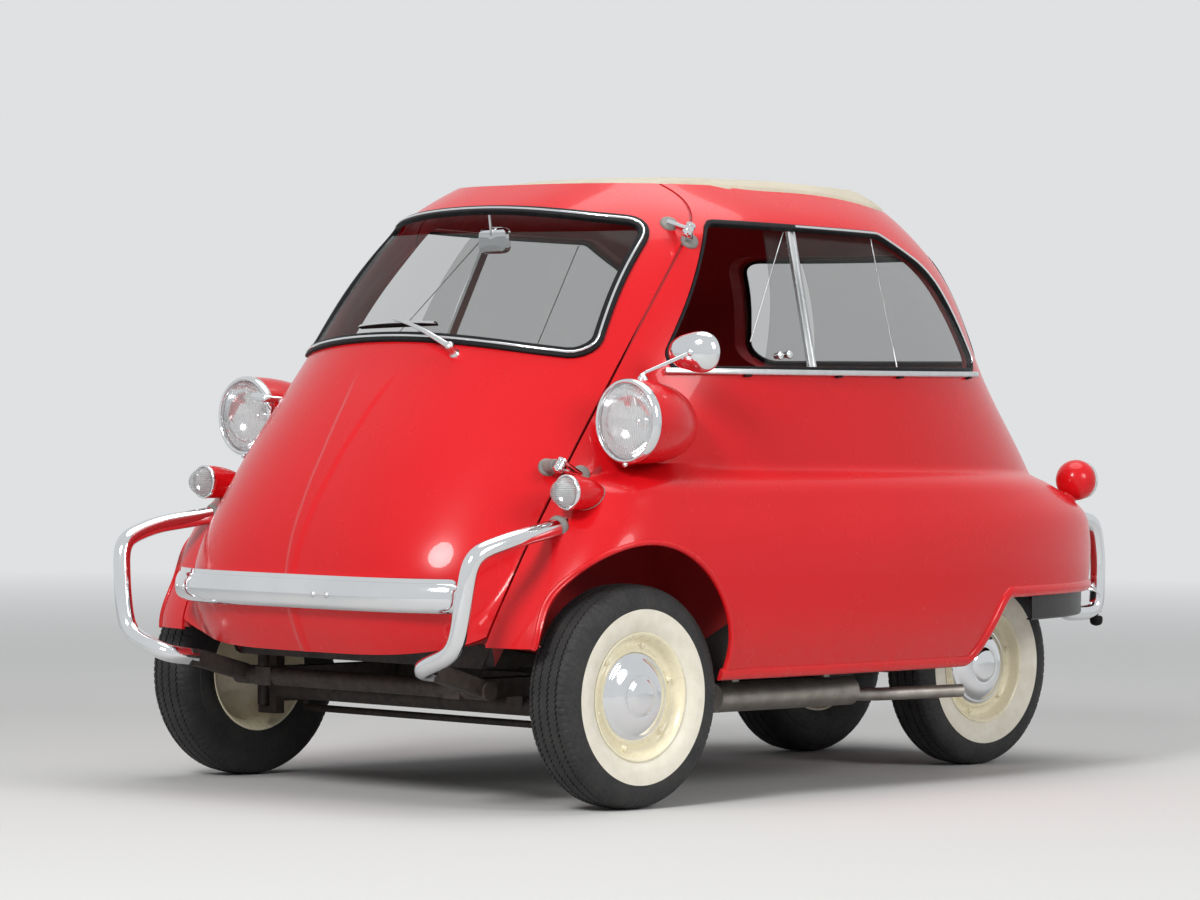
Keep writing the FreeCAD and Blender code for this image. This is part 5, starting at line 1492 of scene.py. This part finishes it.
for spot, doorPad, bodyPad in ((hingeHigh, hingeForm["doorPad"], hingeForm["bodyPad"]),
                               (hingeLow, hingeForm["lowSleeve"], hingeForm["lowPad"])):
    doorChrome.append(turnedShape(hingeForm["barrel"], spot, hingeRun, 36))
    doorChrome.append(barBetween(spot, doorPad, hingeForm["arm"], hingeRun, hingeForm["doorArm"]))
    doorRubber.append(discOn(doorPad, hingeForm["pad"]))
    bodyRubber.append(discOn(bodyPad, hingeForm["pad"]))
    for sign in (-1, 1):
        place = spot + hingeRun * sign * hingeForm["lugOut"]
        bodyChrome.append(turnedShape(hingeForm["lug"], place, hingeRun * sign, 36))
        bodyChrome.append(barBetween(place, bodyPad, hingeForm["arm"], hingeRun, hingeForm["bodyArm"]))
sleeve = np.linspace(hingeLow - [hingeForm["sleeveIn"], 0, 0], hingeForm["lowSleeve"], 20)
sleeveSizes = np.concatenate([[.8, .95], np.linspace(1, 1.08, 16), [1.02, .95]])
doorRubber.append(tubeShape(sleeve, hingeForm["sleeve"], 28, sizes=sleeveSizes))
makePiece("hingeLugs", joined(*bodyChrome), chromeMetal, "body", ["hinge_brackets"])
makePiece("hingeFeet", joined(*bodyRubber), greyRubber, "body")
makePiece("hingeBarrels", joined(*doorChrome), chromeMetal, "door", ["door_hinges"])
makePiece("hingeSleeves", joined(*doorRubber), greyRubber, "door")

# door handle: a lever that swells towards its rounded end, on a boss
handleForm = {"base": (-.47, -.76, .845), "turn": (-.482, -.795, .848), "end": (-.522, -.803, .853),
              "radius": .0075,
              "swell": ([0, .3, .5, .85, .97, 1], [1.0, 1.0, 1.15, 1.3, 1.15, .6]),
              "boss": [(-.004, .0004), (-.004, .019), (.003, .0185), (.007, .015), (.01, .0095), (.012, .0004)]}
stem = bentLine([handleForm["base"], handleForm["turn"], handleForm["end"]], [.012], gap=.003)
lever = tubeShape(stem, handleForm["radius"], 24,
                  sizes=np.interp(np.linspace(0, 1, len(stem)), *handleForm["swell"]))
makePiece("doorLever", joined(lever, discOn(handleForm["base"], handleForm["boss"])), chromeMetal, "door",
          ["door_handle"])

# wiper
wiperForm = {"foot": (.1896, -.8516, .947), "join": (-.02, 1.012), "blade": [(-.14, 1.002), (.104, 1.0085)],
             "bladeLift": .0065, "joinLift": .019, "armLift": (.027, .034), "bridge": (.004, .007),
             "armSizes": (1.25, .55), "bridgeSize": .6,
             "spindle": [(-.004, .0004), (-.004, .0125), (.002, .012), (.006, .0085), (.02, .0075), (.022, .01),
                         (.031, .0095), (.034, .006), (.035, .0004)],
             "arm": [(.005, -.0015), (.005, .001), (.0025, .0025), (-.0025, .0025), (-.005, .001),
                     (-.005, -.0015)],
             "rubber": [(.0022, 0.0), (.0022, .006), (-.0022, .006), (-.0022, 0.0), (-.0006, -.0062),
                        (.0006, -.0062)]}


def onGlass(flat, lift):
    # places given across and up, carried back on to the nose and lifted off it along the normal
    flat = np.atleast_2d(np.array(flat, float))
    line = castLoop(flat, "front")
    return line + skinNormal(bodyReach, line) * lift


bladeRun = onGlass(np.linspace(*wiperForm["blade"], 40), wiperForm["bladeLift"])
bladeUp = skinNormal(bodyReach, bladeRun)
bridge = bladeRun + bladeUp * (wiperForm["bridge"][0] + wiperForm["bridge"][1]
                               * (1 - np.linspace(-1, 1, 40)[:, None] ** 2))
wiperFoot = np.array(wiperForm["foot"])
footUp = skinNormal(bodyReach, wiperFoot[None])[0]
joinSpot = onGlass([wiperForm["join"]], wiperForm["joinLift"])[0]
nearLift, midLift = wiperForm["armLift"]
armRun = bentLine([wiperFoot + footUp * nearLift, (wiperFoot + joinSpot) / 2 + footUp * midLift, joinSpot], [.25],
                  gap=.006)
arm = sweptShape(armRun, wiperForm["arm"], footUp, sizes=np.linspace(*wiperForm["armSizes"], len(armRun)))
bridgeBar = sweptShape(bridge, np.array(wiperForm["arm"]) * wiperForm["bridgeSize"], bladeUp)
makePiece("wiperArm", joined(arm, discOn(wiperFoot, wiperForm["spindle"]), bridgeBar), brightTrim,
          "door", ["wiper"])
makePiece("wiperRubber", sweptShape(bladeRun, wiperForm["rubber"], bladeUp), sealRubber, "door")

# inside mirror
insideForm = {"at": (0.0, -.556, 1.2), "wide": .092, "high": .058, "full": 4.0, "steps": 64,
              "stemFoot": (0, -.008, .01), "stemTop": (0.0, -.572, 1.266), "stem": .0034,
              # place ahead of the middle and share of the full size, ring by ring
              "rings": [(.006, .01), (.006, .93), (.008, .96), (.0075, 1.0), (0.0, 1.02), (-.006, .94),
                        (-.009, .75), (-.01, .3), (-.0105, .01)]}


def insideMirrorShape():
    # rings of a rounded rectangle, |x|^full + |z|^full = 1, from the glass over the rim to the back
    form = insideForm
    turn = fullTurn(form["steps"])
    across, up = (np.sign(wave) * np.abs(wave) ** (2 / form["full"]) for wave in (np.cos(turn), np.sin(turn)))
    x, z = across * form["wide"] / 2, up * form["high"] / 2
    spots = np.stack([np.stack([x * size, np.full_like(x, y), z * size], -1) for y, size in form["rings"]])
    points, faceSets, _ = gridShape(spots + np.array(form["at"]), wrapColumns=True)
    return outwards((points, faceSets, [(np.arange(len(faceSets[0])) < form["steps"]).astype(int)]))


makePiece("insideMirror", insideMirrorShape(), (chromeMetal, silvered), "door")
stemLine = np.linspace(np.array(insideForm["at"]) + insideForm["stemFoot"], insideForm["stemTop"], 14)
makePiece("insideMirrorStem", tubeShape(stemLine, insideForm["stem"], 12), brightTrim, "door")

# the rubber line where the signal pod meets the skin
podSeam = {"reach": .012, "gap": .003, "radius": .0021}


def podSeamLine(form):
    # where each long line of the pod dives under the skin
    turn = fullTurn(90)
    middle, radius, ring = podRings(form, np.linspace(0, 1, 400), turn)
    spots = middle[None] + radius[None, :, None] * ring[:, None]
    under = standOff(bodyReach, spots) < 0
    first = np.argmax(under, 1)
    keep = (first > 3) & under.any(1)
    line = spots[np.arange(len(turn)), first]
    start = int(np.argmax(~keep))
    order = (start + np.arange(len(turn))) % len(turn)
    return line[order][keep[order]]


signalSeam = smoothedLine(podSeamLine(signalForm), podSeam["reach"], podSeam["gap"])
makePiece("signalSeams", bothSides(tubeShape(signalSeam, podSeam["radius"], 10)), greyRubber, "body")
print("fittings made")


# cabin: steering wheel, dial, mat
steerForm = {
    "foot": (.15, -.905, .352), "hub": (.2, -.5, .8), "radius": .18, "grip": .0097, "grips": 48,
    "gripDeep": .07, "bow": .012, "spoke": .0085, "spokeFlat": .6, "spokeSizes": (.8, .5),
    "boss": [(-.0337, .0004), (-.0337, .024), (-.02, .027), (-.006, .028), (.001, .026),
             (.004, .02), (.0058, .01), (.006, .0004)],
}


def steerShape():
    # a round rim whose thickness dips with cos^2 for finger grips, two spokes that bow with 1 - t^2
    # and grow towards the turned boss
    form = steerForm
    hub = np.array(form["hub"])
    run = unit(hub - form["foot"])
    side, rise = np.array([1.0, 0, 0]), np.cross(run, [1.0, 0, 0])
    turn = fullTurn(240)
    ring = hub + form["radius"] * (np.cos(turn)[:, None] * side + np.sin(turn)[:, None] * rise)
    dips = 1 - form["gripDeep"] * (.5 + .5 * np.cos(turn * form["grips"])) ** 2
    t = np.linspace(-1, 1, 60)
    bow = hub + t[:, None] * side * form["radius"] - (form["bow"] * (1 - t * t))[:, None] * run
    sizes = form["spokeSizes"][0] + form["spokeSizes"][1] * (1 - np.abs(t)) ** 2
    return joined(tubeShape(ring, form["grip"], 18, closed=True, sizes=dips),
                  sweptShape(bow, roundSection(form["spoke"], 16, form["spokeFlat"]), run, sizes=sizes),
                  turnedPart(form["boss"], form["hub"], run, 48))


makePiece("steeringRim", steerShape(), ivoryPlastic, "steering_wheel", ["steering_wheel"])

dialForm = {"at": (.3, -.69, .862), "run": (0, .95, .3),
            "ring": [(0.0, .0004), (0.0, .038), (.01, .0395), (.013, .037), (.01, .034), (.007, .0335),
                     (.007, .0004)]}
makePiece("dialRing", turnedPart(dialForm["ring"], dialForm["at"], dialForm["run"], 48), brightTrim, "door")

matForm = {"x": .33, "y": (-.8, -.33), "z": .2885, "rib": .0016, "pitch": .012, "border": .02, "edge": .01,
           "thick": .002, "lift": .0022}


def matShape():
    # a thin ribbed sheet: ribs are a raised cosine across the car, gone at the border
    form = matForm
    x, y = np.meshgrid(np.linspace(-form["x"], form["x"], 441), np.linspace(*form["y"], 30), indexing="ij")
    middle, half = sum(form["y"]) / 2, (form["y"][1] - form["y"][0]) / 2
    inside = np.minimum(smoothStep((form["x"] - form["border"] - np.abs(x)) / form["edge"]),
                        smoothStep((half - form["border"] - np.abs(y - middle)) / form["edge"]))
    z = form["z"] + form["lift"] + form["rib"] * (.5 + .5 * np.cos(2 * math.pi * x / form["pitch"])) * inside
    points, faceSets, _ = gridShape(np.stack([x, y, z], -1))
    tris = trisOf(faceSets[0])
    a, b, c = points[tris[0]]
    points, faceSets, _ = sheetShape(points, tris if np.cross(b - a, c - a)[2] > 0 else tris[:, ::-1],
                                     form["thick"])
    return points, faceSets, [0, 0, 0]


makePiece("floorRubber", matShape(), floorMat, "body")

# the blank plate at the back, and its bolts
plateForm = {
    "half": (.13, .06), "at": (0.0, 1.1165, .515), "corner": .012, "bolts": [(-.09, .56), (.09, .56)],
    "thick": .0042,
    # step out from the outline and rise, ring by ring: sheet, raised border, turned edge
    "rings": [(-.012, 0.0), (-.008, 0.0), (-.006, .0016), (-.003, .0018), (-.0008, .0012), (0.0, 0.0),
              (0.0, -.003), (-.002, -.0042), (-.012, -.0042)],
    "bolt": [(-.006, .0004), (-.006, .006), (.0025, .006), (.004, .0045), (.0048, .0004)],
}


def plateShape():
    # rings of a rounded rectangle, closed to a point in the middle of each face
    w, h = plateForm["half"]
    corners = np.array([(w, h), (-w, h), (-w, -h), (w, -h)])
    loop = bentLine(corners, [plateForm["corner"]] * 4, closed=True, gap=.004)
    spots = []
    for step, rise in plateForm["rings"]:
        ring = shifted(loop, step)
        spots.append(np.stack([ring[:, 0], np.full(len(loop), rise), ring[:, 1]], -1))
    front = np.zeros((1, len(loop), 3))
    spots = np.concatenate([front, np.stack(spots),
                            front - [0, plateForm["thick"], 0]]) + np.array(plateForm["at"])
    return outwards(gridShape(spots, wrapColumns=True))


makePiece("rearPlate", plateShape(), platePaint, "body")
plateBolts = [turnedShape(plateForm["bolt"], (x, plateForm["at"][1], z), (0, 1, 0), 20)
              for x, z in plateForm["bolts"]]
makePiece("plateBolts", joined(*plateBolts), brightTrim, "body")
print("cabin and plate made")


# camera, floor and lamps
view = {"place": (7.67, -7.939, .873), "azimuth": 44.819, "elevation": .71, "roll": .452, "lens": 145.07,
        "sensor": 36, "reach": 200}


def makeCamera():
    # looks along the line given by its two angles, rolled about it; returns the direction backwards
    az, el, roll = (math.radians(view[k]) for k in ("azimuth", "elevation", "roll"))
    back = np.array([math.sin(az) * math.cos(el), -math.cos(az) * math.cos(el), math.sin(el)])
    level = unit(np.cross([0, 0, 1], back))
    upright = np.cross(back, level)
    right = level * math.cos(roll) + upright * math.sin(roll)
    up = upright * math.cos(roll) - level * math.sin(roll)
    data = bpy.data.cameras.new("viewer")
    data.lens, data.sensor_width, data.clip_end = view["lens"], view["sensor"], view["reach"]
    camera = bpy.data.objects.new("viewer", data)
    rows = [[*map(float, row), p] for row, p in zip(np.stack([right, up, back], 1), view["place"])]
    camera.matrix_world = Matrix(rows + [[0, 0, 0, 1]])
    scene.collection.objects.link(camera)
    scene.camera = camera
    return back


def seenStraight(nodes, links):
    # the largest of three marks, so 1 for rays that show the backdrop: from the camera, off metal, through glass
    path, total = nodes.new("ShaderNodeLightPath"), None
    for ray in ("Is Camera Ray", "Is Glossy Ray", "Is Transmission Ray"):
        if total is None:
            total = path.outputs[ray]
            continue
        both = nodes.new("ShaderNodeMath")
        both.operation = "MAXIMUM"
        links.new(total, both.inputs[0])
        links.new(path.outputs[ray], both.inputs[1])
        total = both.outputs[0]
    return total


stageForm = {"wide": 60, "ahead": 16, "behind": 30, "curve": 4, "tall": 22, "fadeFrom": 2.5, "fadeTo": 12.0,
             "tone": (.74, .75, .76), "floor": (.62, .62, .61), "rough": .9}
lampForm = {
    # place, aim, width, power
    "keyLamp": ((2.5, -7.5, 5.5), (0, 0, .6), 2.6, 520),
    "fillLamp": ((8.5, .5, 4.2), (0, 0, .6), 3.5, 290),
    "topLamp": ((0, 1.0, 6.0), (0, 0, 0), 5.0, 170),
}
skyForm = {"colour": (.86, .88, .9), "strength": .3}


def makeStage(back):
    # a floor that runs away from the camera and curves up into a wall behind the car
    away = -unit(np.array([back[0], back[1], 0]))
    side = np.array([-away[1], away[0], 0])
    turn = np.linspace(0, math.pi / 2, 25)
    run = np.concatenate([[-stageForm["ahead"], 0], stageForm["behind"] + stageForm["curve"] * np.sin(turn),
                          [stageForm["behind"] + stageForm["curve"]]])
    rise = np.concatenate([[0, 0], stageForm["curve"] * (1 - np.cos(turn)), [stageForm["tall"]]])
    across = np.linspace(-1, 1, 3) * stageForm["wide"] / 2
    spots = run[:, None, None] * away + rise[:, None, None] * np.array([0, 0, 1.0]) + across[None, :, None] * side
    points, faceSets, _ = gridShape(spots, flip=True)
    mesh = bpy.data.meshes.new("backdrop")
    mesh.from_pydata(points.tolist(), [], faceSets[0].tolist())
    mesh.shade_smooth()
    floor = bpy.data.objects.new("backdrop", mesh)
    scene.collection.objects.link(floor)
    made = bpy.data.materials.new("paleFloor")
    made.use_nodes = True
    nodes, links = made.node_tree.nodes, made.node_tree.links
    shader = nodes["Principled BSDF"]
    shader.inputs["Base Color"].default_value = (*stageForm["floor"], 1)
    shader.inputs["Roughness"].default_value = stageForm["rough"]
    # far from the car an even pale tone is seen, so the floor has no horizon
    where, far = nodes.new("ShaderNodeTexCoord"), nodes.new("ShaderNodeVectorMath")
    far.operation = "LENGTH"
    links.new(where.outputs["Object"], far.inputs[0])
    fade = spread(nodes, links, far.outputs["Value"], 0, 1, stageForm["fadeFrom"], stageForm["fadeTo"])
    seen = nodes.new("ShaderNodeMath")
    seen.operation = "MULTIPLY"
    links.new(fade, seen.inputs[0])
    links.new(seenStraight(nodes, links), seen.inputs[1])
    glow, both = nodes.new("ShaderNodeEmission"), nodes.new("ShaderNodeMixShader")
    glow.inputs["Color"].default_value = (*stageForm["tone"], 1)
    links.new(seen.outputs[0], both.inputs[0])
    links.new(shader.outputs[0], both.inputs[1])
    links.new(glow.outputs[0], both.inputs[2])
    links.new(both.outputs[0], nodes["Material Output"].inputs["Surface"])
    mesh.materials.append(made)


def makeLamp(name, place, towards, wide, power):
    # a round lamp whose back points away from what it lights
    data = bpy.data.lights.new(name, "AREA")
    data.shape, data.size, data.energy = "DISK", wide, power
    lamp = bpy.data.objects.new(name, data)
    lamp.location = place
    lamp.rotation_euler = (Vector(place) - Vector(towards)).to_track_quat("Z", "Y").to_euler()
    scene.collection.objects.link(lamp)


def makeSky():
    # a soft even light from all sides, in place of which the same pale tone as the far floor is seen
    world = bpy.data.worlds.new("studio")
    scene.world = world
    world.use_nodes = True
    nodes, links = world.node_tree.nodes, world.node_tree.links
    plain = nodes["Background"]
    plain.inputs["Color"].default_value = (*skyForm["colour"], 1)
    plain.inputs["Strength"].default_value = skyForm["strength"]
    tone, both = nodes.new("ShaderNodeBackground"), nodes.new("ShaderNodeMixShader")
    tone.inputs["Color"].default_value = (*stageForm["tone"], 1)
    for start, end in ((seenStraight(nodes, links), both.inputs[0]), (plain.outputs[0], both.inputs[1]),
                       (tone.outputs[0], both.inputs[2]),
                       (both.outputs[0], nodes["World Output"].inputs["Surface"])):
        links.new(start, end)


makeStage(makeCamera())
for name, settings in lampForm.items():
    makeLamp(name, *settings)
makeSky()
scene.view_settings.view_transform = "Standard"

bpy.context.view_layer.update()
